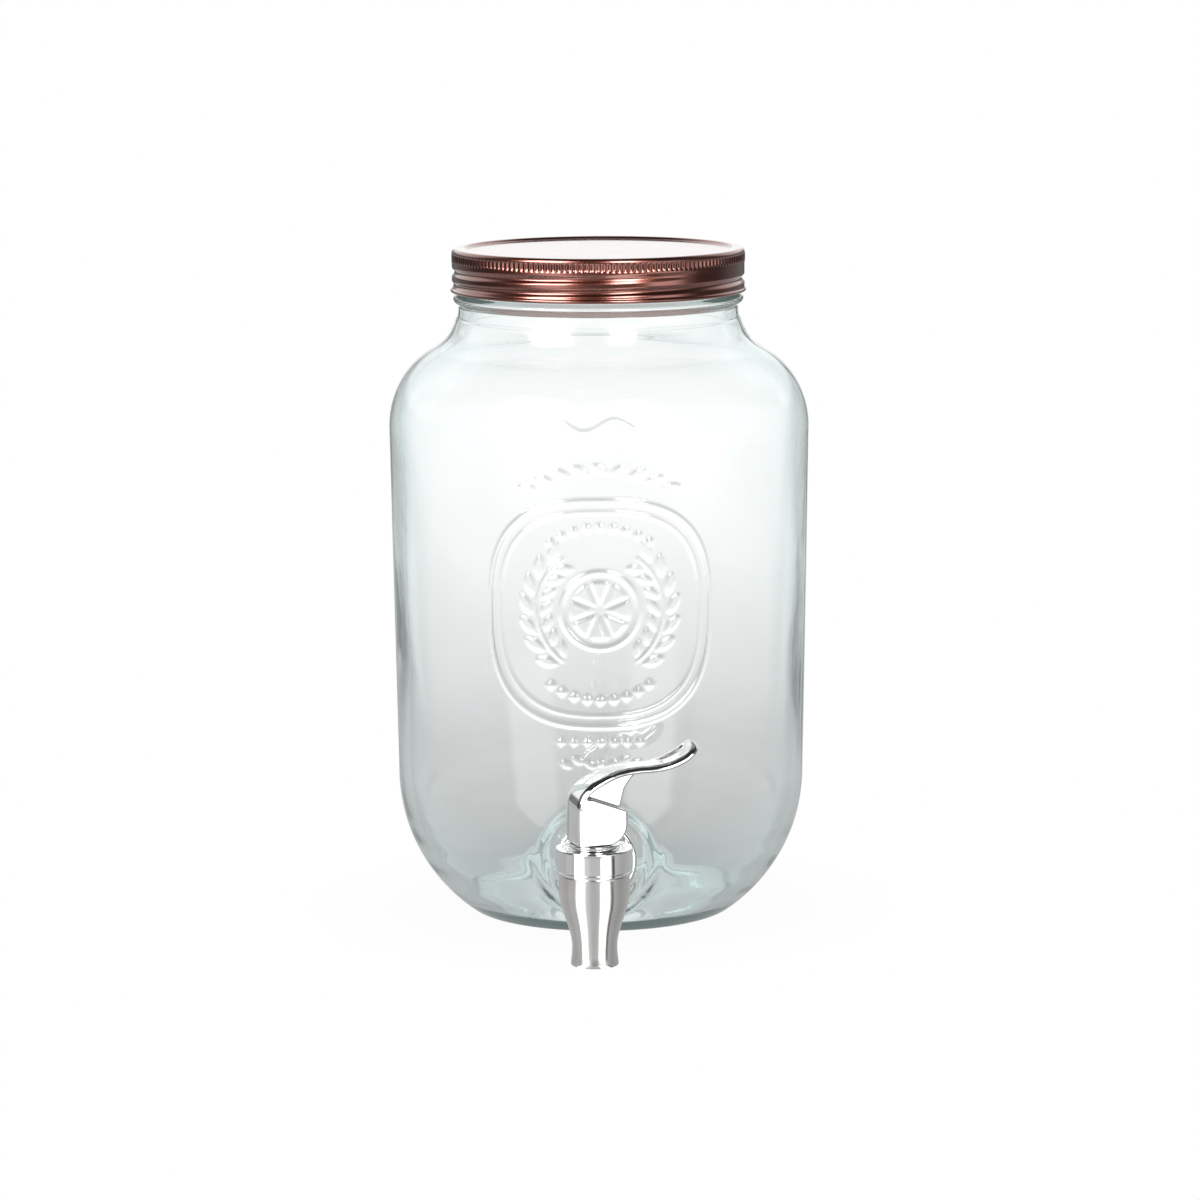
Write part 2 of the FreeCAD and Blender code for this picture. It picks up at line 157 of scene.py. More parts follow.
def shade(mesh, sharp):
    mesh.polygons.foreach_set("use_smooth", [True] * len(mesh.polygons))
    mesh.set_sharp_from_angle(angle=math.radians(sharp))


def grid_faces(rows, cols, skip=None, closed_rows=False):
    """Quads of a grid that is closed round its columns, outward when rows run up its outside."""
    last = rows if closed_rows else rows - 1
    faces = []
    for i in range(last):
        a = i * cols
        b = (i + 1) % rows * cols
        for j in range(cols):
            if skip and skip(i, j):
                continue
            k = (j + 1) % cols
            faces.append((a + j, a + k, b + k, b + j))
    return faces


def fan(ring, pole, inward):
    """Triangles from a closed ring of vertices to one point."""
    faces = []
    for j, a in enumerate(ring):
        b = ring[(j + 1) % len(ring)]
        faces.append((a, b, pole) if inward else (pole, b, a))
    return faces


def lathe(profile, angles, change=None):
    """Points of a turned form. profile is (radius, height) rows; change may move them."""
    r = np.repeat(np.asarray(profile)[:, :1], len(angles), axis=1)
    z = np.repeat(np.asarray(profile)[:, 1:], len(angles), axis=1)
    a = np.repeat(np.asarray(angles)[None, :], len(profile), axis=0)
    if change:
        r, z = change(r, z, a)
    return np.stack([r * np.cos(a), r * np.sin(a), z], axis=2)


def turned(name, profile, segments=128, place=None, change=None, sharp=40.0):
    """A closed turned solid. A profile that starts and ends on the axis is capped there."""
    angles = np.linspace(0, 2 * math.pi, segments, endpoint=False)
    profile = np.asarray(profile, float)
    capped = profile[0][0] < 1e-6
    body = profile[1:-1] if capped else profile
    grid = lathe(body, angles, change)
    points = grid.reshape(-1, 3)
    faces = grid_faces(len(body), segments, closed_rows=not capped)
    if capped:
        n = len(points)
        points = np.vstack([points, [0, 0, profile[0][1]], [0, 0, profile[-1][1]]])
        faces += fan(list(range(segments)), n, False)
        faces += fan(list(range(n - segments, n)), n + 1, True)
    if place:
        points = place(points)
    return mesh_object(name, points, faces, sharp)


def about_tap(points):
    return points + np.array([0, TAP_Y, 0])


def along_bore(points):
    """Turns a form's axis from up to +Y (into the jar), through the middle of the tap hole."""
    x, y, z = points.T
    return np.stack([x, z, HOLE_Z - y], axis=1)


def combine(obj, other, operation):
    """Boolean of two closed meshes; the second is used up."""
    tool = obj.modifiers.new("tool", "BOOLEAN")
    tool.operation = operation
    tool.object = other
    tool.solver = "EXACT"
    apply_modifiers(obj)
    bpy.data.objects.remove(other)


def apply_modifiers(obj):
    view = bpy.context.evaluated_depsgraph_get()
    view.update()
    mesh = bpy.data.meshes.new_from_object(obj.evaluated_get(view))
    obj.modifiers.clear()
    obj.data = mesh


def loft(name, sections, sharp=40.0):
    """A closed solid through rings of points, capped flat at both ends."""
    sections = np.asarray(sections, float)
    rows, cols = sections.shape[:2]
    points = sections.reshape(-1, 3)
    n = len(points)
    points = np.vstack([points, sections[0].mean(0), sections[-1].mean(0)])
    faces = grid_faces(rows, cols)
    faces += fan(list(range(cols)), n, False)
    faces += fan(list(range(n - cols, n)), n + 1, True)
    return mesh_object(name, points, faces, sharp)


def prism(name, outline, low, high, place):
    """A plate: an outline in two dimensions, run from low to high along the third."""
    rings = [[(x, z, d) for x, z in outline] for d in (low, high)]
    n = len(outline)
    faces = grid_faces(2, n) + [tuple(range(n))[::-1], tuple(range(n, 2 * n))]
    return mesh_object(name, place(np.array(rings, float).reshape(-1, 3)), faces, 30.0)


# ---- materials ----


class Nodes:
    """Short calls for a node tree: each makes one node and returns its output."""

    def __init__(self, tree):
        self.tree = tree
        self.tree.nodes.clear()

    def node(self, kind, inputs=None, out=0, **settings):
        n = self.tree.nodes.new(kind)
        for key, value in settings.items():
            setattr(n, key, value)
        for key, value in (inputs or {}).items():
            if isinstance(value, bpy.types.NodeSocket):
                self.tree.links.new(value, n.inputs[key])
            else:
                n.inputs[key].default_value = value
        return n.outputs[out]

    def math(self, operation, a, b=0.0):
        return self.node("ShaderNodeMath", {0: a, 1: b}, operation=operation)

    def ramp(self, value, stops, low=0.0, high=1.0):
        """A colour or grey that changes with value; stops are (value, colour)."""
        inputs = {"Value": value, "From Min": low, "From Max": high}
        fac = self.node("ShaderNodeMapRange", inputs)
        n = self.tree.nodes.new("ShaderNodeValToRGB")
        while len(n.color_ramp.elements) < len(stops):
            n.color_ramp.elements.new(1.0)
        for element, (at, colour) in zip(n.color_ramp.elements, stops):
            element.position = (at - low) / (high - low)
            grey = isinstance(colour, (int, float))
            element.color = (colour,) * 3 + (1,) if grey else (*colour, 1)
        self.tree.links.new(fac, n.inputs[0])
        return n.outputs[0]

    def noise(self, scale, detail, roughness, stretch=None):
        where = self.node("ShaderNodeTexCoord", out=3)
        if stretch:
            where = self.node("ShaderNodeMapping", {"Vector": where, "Scale": stretch})
        inputs = {"Vector": where, "Scale": scale, "Detail": detail, "Roughness": roughness}
        return self.node("ShaderNodeTexNoise", inputs)

    def between(self, value, low, high, start=0.3, end=0.7):
        inputs = {"Value": value, "From Min": start, "From Max": end, "To Min": low, "To Max": high}
        return self.node("ShaderNodeMapRange", inputs)

    def bump(self, height, strength, distance):
        inputs = {"Height": height, "Strength": strength, "Distance": distance}
        return self.node("ShaderNodeBump", inputs)

    def mix(self, fac, a, b):
        a, b = (v if isinstance(v, bpy.types.NodeSocket) else (*v, 1) for v in (a, b))
        return self.node("ShaderNodeMix", {0: fac, 6: a, 7: b}, out=2, data_type="RGBA")

    def xyz(self, vector):
        return self.node("ShaderNodeSeparateXYZ", {0: vector}).node.outputs

    def surface(self, shader, volume=None):
        out = self.tree.nodes.new("ShaderNodeOutputMaterial")
        self.tree.links.new(shader, out.inputs["Surface"])
        if volume is not None:
            self.tree.links.new(volume, out.inputs["Volume"])


MATERIALS = {}


def new_material(name):
    mat = bpy.data.materials.new(name)
    mat.use_nodes = True
    MATERIALS[name] = mat
    return mat, Nodes(mat.node_tree)


def principled(n, **inputs):
    named = {key.replace("_", " "): value for key, value in inputs.items()}
    return n.node("ShaderNodeBsdfPrincipled", named)


def clear_glass():
    """Soda-lime glass: clear face on, green-grey and darker where a ray runs along the wall; this
    is partly the glass's own tint and partly painted edge shade.
    """
    mat, n = new_material("clear_glass")
    # painted edge shade: the glass's colour darkens and turns teal as its surface turns away from
    # the ray, towards the silhouette
    facing = n.node("ShaderNodeLayerWeight", {"Blend": 0.5}, out=1)
    stops = [(0.0, (1.0, 1.0, 1.0)), (0.60, (0.97, 0.99, 0.99)), (0.70, (0.88, 0.95, 0.95))]
    stops += [(0.80, (0.70, 0.82, 0.81)), (0.90, (0.60, 0.74, 0.73)), (1.0, (0.50, 0.64, 0.63))]
    rim = n.ramp(facing, stops)
    # the glass is also tinted darker and greener below about 4.5 cm, and a fixed grey-green at the
    # foot
    _, _, where = n.xyz(n.node("ShaderNodeTexCoord", out=3))
    stops = [(0.0, (0.83, 0.88, 0.872)), (0.02, (0.94, 0.963, 0.958)), (0.045, (1, 1, 1))]
    heel = n.ramp(where, stops, 0.0, 0.1)
    tint_with_painted_edge_shade = n.node("ShaderNodeVectorMath", {0: rim, 1: heel}, operation="MULTIPLY")
    foot = n.ramp(where, [(0.0, 1.0), (0.005, 1.0), (0.012, 0.0)], 0.0, 0.1)
    tint_with_painted_edge_shade = n.mix(foot, tint_with_painted_edge_shade, (0.83, 0.885, 0.877))
    ripple = n.noise(38.0, 2.0, 0.4)
    # painted glow: the glass emits a faint grey-green light on rays that have bounced more than
    # four times
    painted_glow_deep_rays = n.math("GREATER_THAN", n.node("ShaderNodeLightPath", out="Ray Depth"), 4.5)
    shader = principled(
        n,
        Base_Color=tint_with_painted_edge_shade,
        Roughness=0.0,
        IOR=1.52,
        Transmission_Weight=1.0,
        Normal=n.bump(ripple, 0.012, 0.01),
        Emission_Color=(0.07, 0.083, 0.081, 1),
        Emission_Strength=painted_glow_deep_rays,
    )
    mat.cycles.emission_sampling = "NONE"
    body_tint = {"Color": (0.12, 0.66, 0.595, 1), "Density": 4.3}
    absorb = n.node("ShaderNodeVolumeAbsorption", body_tint)
    n.surface(shader, absorb)


def copper_lacquer():
    """Tinted lacquer over bright sheet, with fine orange peel and a few rubbed spots, and a painted
    glow on rays that reach it after two or more bounces, as through the glass.
    """
    mat, n = new_material("copper_lacquer")
    cloud = n.noise(60.0, 4.0, 0.6)
    peel = n.noise(1400.0, 2.0, 0.5)
    # painted glow: the lacquer emits a dim warm light on rays that have bounced twice or more, so
    # the lid looks lit through the glass
    painted_glow_behind_glass = n.math("GREATER_THAN", n.node("ShaderNodeLightPath", out="Ray Depth"), 1.5)
    colour = n.mix(n.between(cloud, 0.0, 1.0), (0.18, 0.045, 0.027), (0.22, 0.058, 0.036))
    shader = principled(
        n,
        Base_Color=colour,
        Metallic=1.0,
        Roughness=n.between(cloud, 0.19, 0.25),
        Coat_Weight=1.0,
        Coat_IOR=1.7,
        Coat_Roughness=0.05,
        Normal=n.bump(peel, 0.05, 0.0004),
        Emission_Color=(0.16, 0.13, 0.12, 1),
        Emission_Strength=painted_glow_behind_glass,
    )
    mat.cycles.emission_sampling = "NONE"
    n.surface(shader)


def metal(name, colour, low, high, cloud_scale, grain_scale, grain, stretch=None):
    """Bare or plated metal whose roughness wanders between low and high."""
    _, n = new_material(name)
    cloud = n.noise(cloud_scale, 4.0, 0.6)
    fine = n.noise(grain_scale, 2.0, 0.5, stretch=stretch)
    dim = tuple(0.93 * c for c in colour)
    shader = principled(
        n,
        Base_Color=n.mix(n.between(cloud, 0.0, 1.0), colour, dim),
        Metallic=1.0,
        Roughness=n.between(cloud, low, high),
        Normal=n.bump(fine, grain, 0.0003),
    )
    n.surface(shader)


def polymer(name, colour, shadow, roughness, grain_scale, grain, **extra):
    """Moulded plastic or rubber with slight clouding and a fine skin."""
    _, n = new_material(name)
    cloud = n.noise(140.0, 3.0, 0.6)
    fine = n.noise(grain_scale, 3.0, 0.6)
    shader = principled(
        n,
        Base_Color=n.mix(n.between(cloud, 0.0, 1.0), colour, shadow),
        Roughness=n.between(fine, roughness - 0.06, roughness + 0.08),
        Normal=n.bump(fine, grain, 0.0003),
        **extra,
    )
    n.surface(shader)


clear_glass()
copper_lacquer()
polymer("liner_compound", (0.72, 0.70, 0.64), (0.64, 0.62, 0.56), 0.5, 900.0, 0.2)
metal("polished_chrome", (0.83, 0.835, 0.84), 0.03, 0.07, 90.0, 500.0, 0.015)
metal("satin_chrome", (0.70, 0.69, 0.675), 0.14, 0.18, 120.0, 2600.0, 0.02)
polymer("black_rubber", (0.018, 0.018, 0.018), (0.03, 0.03, 0.03), 0.5, 1600.0, 0.2)
polymer("white_acetal", (0.84, 0.84, 0.81), (0.78, 0.78, 0.75), 0.34, 900.0, 0.08)
metal("stainless_steel", (0.60, 0.59, 0.57), 0.18, 0.30, 200.0, 900.0, 0.1, (1, 1, 14))
see_through = {"Transmission_Weight": 0.45, "IOR": 1.41}
silicone = (0.86, 0.88, 0.87)
polymer("clear_silicone", silicone, (0.78, 0.80, 0.79), 0.38, 1100.0, 0.15, **see_through)
polymer("white_nylon", (0.82, 0.81, 0.77), (0.74, 0.73, 0.69), 0.42, 1000.0, 0.15)


def finish_piece(obj, node, slot):
    """Gives a visual piece its material, body and slot, and hides the CAD node it stands for."""
    obj.data.materials.clear()
    obj.data.materials.append(MATERIALS[slot])
    body = frame["nodes"][node]["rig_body"]
    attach(obj, body)
    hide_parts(node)
    return obj


# ---- jar ----

HEEL = (13.2, 55.0)
HEEL_R = 66.5
HEEL_WALL = 4.6
FOOT_R = 6.0
RING_INNER_R = 42.0
PUSH_UP = 3.2
SHOULDER = (47.0, 191.0)
SHOULDER_R = 35.0
WALL = 3.8
NECK_R = 54.4
NECK_FILLET = 18.0
NECK_BORE = 50.0
MOUTH_R = 49.2
FLOOR_Z = 7.2
FLOOR_DOME = 1.6
BEAD_Z = 240.9
BEAD_R = 56.5
FINISH_R = 53.4
RIM_Z = JAR_TOP
RIM_ROUND = 1.4
THREAD_PITCH = 5.08
THREAD_START = 246.6
THREAD_TURNS = 1.2
PAD_R = 17.5
HOLE_R = 8.5
WINDOW = math.radians(25.0)  # half the width of the part of the grid remade round the hole
WINDOW_ROWS = 48
ORNAMENT_Z = 129.0
ORNAMENT_TURN = math.radians(1.4)


def lean(heel_r, shoulder_r):
    dx = SHOULDER[0] - HEEL[0]
    dz = SHOULDER[1] - HEEL[1]
    angle = math.acos((heel_r - shoulder_r) / math.hypot(dx, dz)) - math.atan2(dz, dx)
    return math.degrees(angle)


def side(heel_r, shoulder_r, fillet_r, neck_r, start):
    """The wall from the heel to the neck."""
    tilt = lean(heel_r, shoulder_r)
    dx = neck_r + fillet_r - SHOULDER[0]
    dz = math.sqrt((shoulder_r + fillet_r) ** 2 - dx**2)
    turn = math.degrees(math.atan2(dz, dx))
    fillet = (neck_r + fillet_r, SHOULDER[1] + dz)
    return (
        arc(HEEL, heel_r, start, tilt, 0.5)
        + arc(SHOULDER, shoulder_r, tilt, turn, 1.0)
        + arc(fillet, fillet_r, turn - 180, -180, 2.0)
    )


def split(points, z, rising):
    """Cuts a line in two where it crosses the height z."""
    points = np.asarray(points, float)
    past = points[:, 1] > z if rising else points[:, 1] < z
    k = int(np.argmax(past))
    a, b = points[k - 1], points[k]
    cut = a + (b - a) * (z - a[1]) / (b[1] - a[1])
    return np.vstack([points[:k], cut]), np.vstack([cut, points[k:]])


def joined(parts):
    """Runs of points end to end, without their doubled ends."""
    return np.vstack([parts[0]] + [part[1:] for part in parts[1:]])


def outer_rows():
    foot_r = HEEL[0] + math.sqrt((HEEL_R - FOOT_R) ** 2 - (HEEL[1] - FOOT_R) ** 2)
    start = math.degrees(math.atan2(FOOT_R - HEEL[1], foot_r - HEEL[0]))
    wall = side(HEEL_R, SHOULDER_R, NECK_FILLET, NECK_R, start)
    low, rest = split(wall, 4.5, True)
    window, rest = split(rest, 67.0, True)
    panel, rest = split(rest, 214.0, True)
    base = np.array([(r, PUSH_UP * (1 - (r / RING_INNER_R) ** 2)) for r in np.linspace(1, 42, 22)])
    foot = np.array(arc((foot_r, FOOT_R), FOOT_R, -90, start, 6.0))
    collar = [(NECK_R, BEAD_Z - 2.6), (55.0, BEAD_Z - 2.0), (56.0, BEAD_Z - 1.2), (BEAD_R, BEAD_Z)]
    collar += [(56.1, BEAD_Z + 0.9), (55.0, BEAD_Z + 1.5), (FINISH_R + 0.5, BEAD_Z + 2.0)]
    top = arc((FINISH_R - RIM_ROUND, RIM_Z - RIM_ROUND), RIM_ROUND, 0, 90, 15)
    finish = [(FINISH_R, BEAD_Z + 2.8), top[0]]
    stand = np.array([base[-1], (44.0, -0.0), (46.5, -0.0), (foot_r, 0.0)])
    first = joined([base, stand, foot, resample(low, 1.2)])
    last = joined(
        [
            resample(panel, 0.65),
            resample(rest, 0.5),
            resample([rest[-1], (NECK_R, BEAD_Z - 2.6)], 1.0),
            resample(spline(collar, 6), 0.45),
            resample([collar[-1], finish[0]], 0.5),
            resample(finish, 0.45),
            np.array(top),
        ]
    )
    return first, even(window, WINDOW_ROWS), last


def inner_rows():
    heel_r = HEEL_R - HEEL_WALL
    edge = HEEL[0] + math.sqrt(heel_r**2 - (HEEL[1] - FLOOR_Z) ** 2)
    start = math.degrees(math.atan2(FLOOR_Z - HEEL[1], edge - HEEL[0]))
    fillet = NECK_FILLET + NECK_R - NECK_BORE
    wall = side(heel_r, SHOULDER_R - WALL, fillet, NECK_BORE, start)[::-1]
    upper, rest = split(wall, 64.0, False)
    window, low = split(rest, 9.4, False)
    mouth = arc((MOUTH_R + RIM_ROUND, RIM_Z - RIM_ROUND), RIM_ROUND, 90, 180, 15)
    floor = [(r, FLOOR_Z + FLOOR_DOME * (1 - (r / edge) ** 2)) for r in np.linspace(edge, 1, 20)]
    bore = resample([mouth[-1], (NECK_BORE, 246.0), upper[0]], 2.0)
    first = joined([np.array(mouth), bore, resample(upper, 1.6)])
    return first, even(window, WINDOW_ROWS), joined([resample(low, 0.8), np.array(floor)])


def bump(distance, half):
    """Cross-section of a rounded moulded line."""
    return np.clip(1 - (distance / half) ** 2, 0, 1) ** 1.3


def leaf(u, v, middle, angle, length, width):
    """A pointed leaf with a sunk vein."""
    c, s = math.cos(math.radians(angle)), math.sin(math.radians(angle))
    x = (u - middle[0]) * c + (v - middle[1]) * s
    y = -(u - middle[0]) * s + (v - middle[1]) * c
    across = width / 2 * np.clip(1 - (2 * x / length) ** 2, 0, 1) + 1e-6
    body = np.clip(1 - (y / across) ** 2, 0, 1) ** 0.6 * (np.abs(2 * x / length) < 1)
    return body * (1 - 0.45 * np.exp(-((y / 0.35) ** 2)))


def bead(u, v, middle, radius):
    return np.clip(1 - ((u - middle[0]) ** 2 + (v - middle[1]) ** 2) / radius**2, 0, 1) ** 0.6


def diamond(u, v, middle, half):
    d = (np.abs(u - middle[0]) + np.abs(v - middle[1])) / half
    return np.clip(1.6 * (1 - d), 0, 1)


def on_circle(radius, angle, middle=(0.0, 0.0)):
    a = math.radians(angle)
    return (middle[0] + radius * math.cos(a), middle[1] + radius * math.sin(a))


def citrus(u, v, middle, radius):
    """A slice of fruit: rind, pith line and eight segments."""
    x, y = u - middle[0], v - middle[1]
    r = np.hypot(x, y)
    a = np.arctan2(y, x)
    cell = math.pi / 4
    off = np.abs((a + cell / 2) % cell - cell / 2)
    gap = r * np.sin(np.clip(cell / 2 - off, 0, None))
    inside = smoothstep(gap, 0.35, 1.3) * smoothstep(r, 1.6, 3.0)
    inside = inside * (1 - smoothstep(r, radius - 4.0, radius - 2.9))
    return np.maximum(bump(r - radius, 1.2), 0.8 * inside)


def ornament(u, v):
    """Height, from 0 to 1, of the moulded ornament at u across and v up from its middle."""
    q = (np.abs(u / 43.0) ** 2.7 + np.abs(v / 43.0) ** 2.7) ** (1 / 2.7)
    d = (q - 1) * 43.0
    h = np.maximum(bump(d, 1.15), 0.6 * bump(d + 4.2, 0.8))
    h = np.maximum(h, citrus(u, v, (0, 1.5), 14.5))
    for sign in (-1, 1):
        mirrored = sign * u
        stem = np.hypot(mirrored, v - 1.5) - 24.0
        along = np.degrees(np.arctan2(v - 1.5, mirrored))
        h = np.maximum(h, 0.8 * bump(stem, 0.8) * (1 - smoothstep(np.abs(along), 50, 58)))
        for k in range(-3, 4):
            a = 16.0 * k
            outward = leaf(mirrored, v, on_circle(28.3, a + 4, (0, 1.5)), a + 62, 9.0, 4.0)
            inward = leaf(mirrored, v, on_circle(20.4, a + 2, (0, 1.5)), a + 128, 7.0, 3.2)
            h = np.maximum(h, np.maximum(outward, inward))
    for k in range(-4, 5):
        h = np.maximum(h, bead(u, v, on_circle(33.0, 90 + 8.6 * k), 1.7))
        h = np.maximum(h, 0.9 * diamond(u, v, on_circle(33.0, 270 + 8.6 * k), 2.6))
        lean_over = 35 if k < 0 else -35
        h = np.maximum(h, leaf(u, v, on_circle(55.0, 90 + 7.5 * k), 7.5 * k + lean_over, 7.5, 3.4))
    wave = v - 71.0 - 2.2 * np.sin(u / 3.6)
    h = np.maximum(h, bump(wave, 1.2) * (1 - smoothstep(np.abs(u), 11, 16)))
    for k in range(-3, 4):
        h = np.maximum(h, 0.9 * diamond(u, v, (5.0 * k, -49.0), 2.3))
    for sign in (-1, 1):
        for k in range(3):
            middle = (4.0 + 4.6 * k, -57.5 + (k % 2) * 1.5)
            h = np.maximum(h, leaf(sign * u, v, middle, 25, 5.6, 3.0))
    return np.maximum(h, bead(u, v, (0, -57.2), 1.6))


def shape_outside(r, z, a):
    """Thread, ornament, mould seams and stipple on the outside of the turned jar."""
    turn = np.mod(a, 2 * math.pi) / (2 * math.pi)
    for lap in range(2):
        at = turn + lap
        centre = THREAD_START + THREAD_PITCH * at
        ends = smoothstep(at, 0.0, 0.06) * (1 - smoothstep(at, THREAD_TURNS - 0.06, THREAD_TURNS))
        off = np.clip(1 - ((z - centre) / 1.7) ** 2, 0, 1) ** 0.6
        r = r + 1.6 * off * ends * (z > 243.5) * (z < RIM_Z - 2)
    front = np.angle(np.exp(1j * (a - FRONT - ORNAMENT_TURN)))
    mask = (np.abs(front) < 0.62) & (z > 64) & (z < 214)
    height = np.zeros_like(r)
    height[mask] = ornament(80.5 * front[mask], z[mask] - ORNAMENT_Z)
    r = r + 0.62 * height - 0.14 * smoothstep(r, 75, 80)
    spin = np.exp(1j * a)
    seam = np.minimum(np.abs(np.angle(spin)), np.abs(np.angle(-spin)))
    r = r + 0.13 * np.exp(-((seam * 80 / 0.45) ** 2)) * (z > 8) * (z < 238)
    r = r + 0.35 * (1 - smoothstep(z, 233.1, 233.5)) * smoothstep(z, 224, 231)
    stipple = np.sin(a * 96) * (z < 0.05) * (r > 43) * (r < 48)
    z = z + 0.22 * (0.5 + 0.5 * stipple) * (z < 0.05) * (r > 43) * (r < 48)
    return r, z


def shape_inside(r, z, a):
    """The blown inside of the wall is never quite even."""
    wander = 0.10 * np.sin(3 * a + 0.021 * z + 0.7)
    wander = wander + 0.07 * np.sin(5 * a - 0.047 * z + 2.1)
    wander = wander + 0.05 * np.sin(9 * a + 0.083 * z + 4.0)
    body = smoothstep(z, 12, 60) * (1 - smoothstep(z, 190, 225))
    heel = smoothstep(z, 8, 14) * (1 - smoothstep(z, 26, 44))
    ripple = 0.08 * np.sin(0.55 * z + 1.6 * np.sin(2 * a + 0.6)) * heel
    return r + wander * body + ripple, z


def boundary(first_row, rows, cols_from, cols_to, cols):
    """Vertices round the edge of the window in a grid, as (row, column) in order."""
    bottom = [(first_row, j) for j in range(cols_from, cols_to)]
    right = [(i, cols_to) for i in range(first_row, first_row + rows)]
    top = [(first_row + rows, j) for j in range(cols_to, cols_from, -1)]
    left = [(i, cols_from) for i in range(first_row + rows, first_row, -1)]
    return [i * cols + j for i, j in bottom + right + top + left]


def patch(points, loop, radii, height, faces, flip):
    """Fills the window with rings that run from its edge in to the tap hole."""
    edge = points[loop]
    rel = np.stack([edge[:, 0], edge[:, 2] - HOLE_Z], axis=1)
    far = np.hypot(rel[:, 0], rel[:, 1])
    unit = rel / far[:, None]
    rings = [edge]
    steps = [("lerp", t) for t in np.linspace(0, 1, 9)[1:]] + [("round", r) for r in radii[1:]]
    for kind, value in steps:
        rho = far + (radii[0] - far) * value if kind == "lerp" else np.full(len(far), value)
        x = unit[:, 0] * rho
        z = HOLE_Z + unit[:, 1] * rho
        fade = 1 - smoothstep(rho, radii[0] - 1.5, far - 0.2) if kind == "lerp" else 1.0
        y = height(x, z, rho, fade)
        rings.append(np.stack([x, y, z], axis=1))
    base = len(points)
    indices = [list(loop)]
    for ring in rings[1:]:
        indices.append(list(range(base, base + len(ring))))
        base += len(ring)
    for a, b in zip(indices, indices[1:]):
        for j in range(len(a)):
            k = (j + 1) % len(a)
            quad = (a[j], a[k], b[k], b[j])
            faces.append(quad[::-1] if flip else quad)
    return np.vstack([points] + rings[1:]), indices[-1]


def jar():
    front = np.radians(np.arange(-125, -54.9, 0.45))
    seams = [0.35, -0.35, 180.35, 179.65, 180.0]
    rest = np.radians(np.concatenate([np.arange(-53.5, 234, 2.0), seams]))
    angles = np.sort(np.concatenate([front, rest]))
    cols = len(angles)
    left = int(np.argmin(np.abs(angles - (FRONT - WINDOW))))
    right = int(np.argmin(np.abs(angles - (FRONT + WINDOW))))
    out_a, out_w, out_b = outer_rows()
    in_a, in_w, in_b = inner_rows()
    outer = joined([out_a, out_w, out_b])
    inner = joined([in_a, in_w, in_b])
    grids = [lathe(outer, angles, shape_outside), lathe(inner, angles, shape_inside)]
    shaped = np.concatenate(grids)
    points = shaped.reshape(-1, 3)
    out_row = len(out_a) - 1
    in_row = len(outer) + len(in_a) - 1

    def in_window(i, j):
        rows = out_row <= i < out_row + WINDOW_ROWS or in_row <= i < in_row + WINDOW_ROWS
        return rows and left <= j < right

    faces = grid_faces(len(shaped), cols, in_window)
    n = len(points)
    points = np.vstack([points, [0, 0, PUSH_UP], [0, 0, FLOOR_Z + FLOOR_DOME]])
    faces += fan(list(range(cols)), n, False)
    faces += fan(list(range(n - cols, n)), n + 1, True)

    def wall_y(profile, change, x, z):
        r = np.interp(z, profile[:, 1], profile[:, 0])
        r, _ = change(r, z, np.arctan2(-np.sqrt(r**2 - x**2), x))
        return -np.sqrt(r**2 - x**2)

    def outside_y(x, z, rho, fade):
        wall = wall_y(out_w, shape_outside, x, z)
        cone = PAD_Y + 1.25 * (rho - PAD_R)
        k = 6.0
        h = np.clip(0.5 + 0.5 * (wall - cone) / k, 0, 1)
        blended = wall + (cone - wall) * h - k * h * (1 - h)
        y = PAD_Y + (blended - PAD_Y) * smoothstep(rho, PAD_R - 1.5, PAD_R + 6.5)
        return wall + (y - wall) * fade

    def inside_y(x, z, rho, fade):
        wall = wall_y(in_w[::-1], shape_inside, x, z)
        y = PAD_INNER_Y + (wall - PAD_INNER_Y) * smoothstep(rho, PAD_R - 2.5, PAD_R + 7.0)
        return wall + (y - wall) * fade

    edge_of_pad = [19.8, 19.1, 18.5, 18.0, 17.6, 17.2, 16.5, 15, 12, 9.2]
    radii = [26.5, 25.7, 24.8, 23.9, 23.0, 22, 20.8] + edge_of_pad
    loop_out = boundary(out_row, WINDOW_ROWS, left, right, cols)
    loop_in = boundary(in_row, WINDOW_ROWS, left, right, cols)
    points, hole_out = patch(points, loop_out, radii, outside_y, faces, False)
    edge_of_pad = [18.9, 18.5, 18.0, 17.6, 17.2, 16.8, 16.4, 15, 12, 9.2]
    radii = [24.6, 24.1, 23.5, 22.5, 21.5, 20.5, 19.6] + edge_of_pad
    points, hole_in = patch(points, loop_in, radii, inside_y, faces, False)
    # the inner loop runs the other way up, so its ring is matched to the outer one by angle
    out_ring = points[hole_out]
    angle_out = np.arctan2(out_ring[:, 2] - HOLE_Z, out_ring[:, 0])
    walls = [(8.75, 0.15), (HOLE_R, 0.6), (HOLE_R, 3.5), (HOLE_R, 6.4), (8.75, 6.85)]
    previous = hole_out
    for radius, depth in walls:
        y = np.full(len(angle_out), PAD_Y + depth * (PAD_INNER_Y - PAD_Y) / 7.0)
        x, z = radius * np.cos(angle_out), HOLE_Z + radius * np.sin(angle_out)
        ring = np.stack([x, y, z], axis=1)
        start = len(points)
        points = np.vstack([points, ring])
        current = list(range(start, start + len(ring)))
        for j in range(len(ring)):
            k = (j + 1) % len(ring)
            faces.append((previous[j], previous[k], current[k], current[j]))
        previous = current
    in_ring = points[hole_in]
    angle_in = np.arctan2(in_ring[:, 2] - HOLE_Z, in_ring[:, 0])
    order = zip_rings(points, previous, angle_out, hole_in, angle_in)
    return mesh_object("jar_glass", points, faces + order, 50.0)


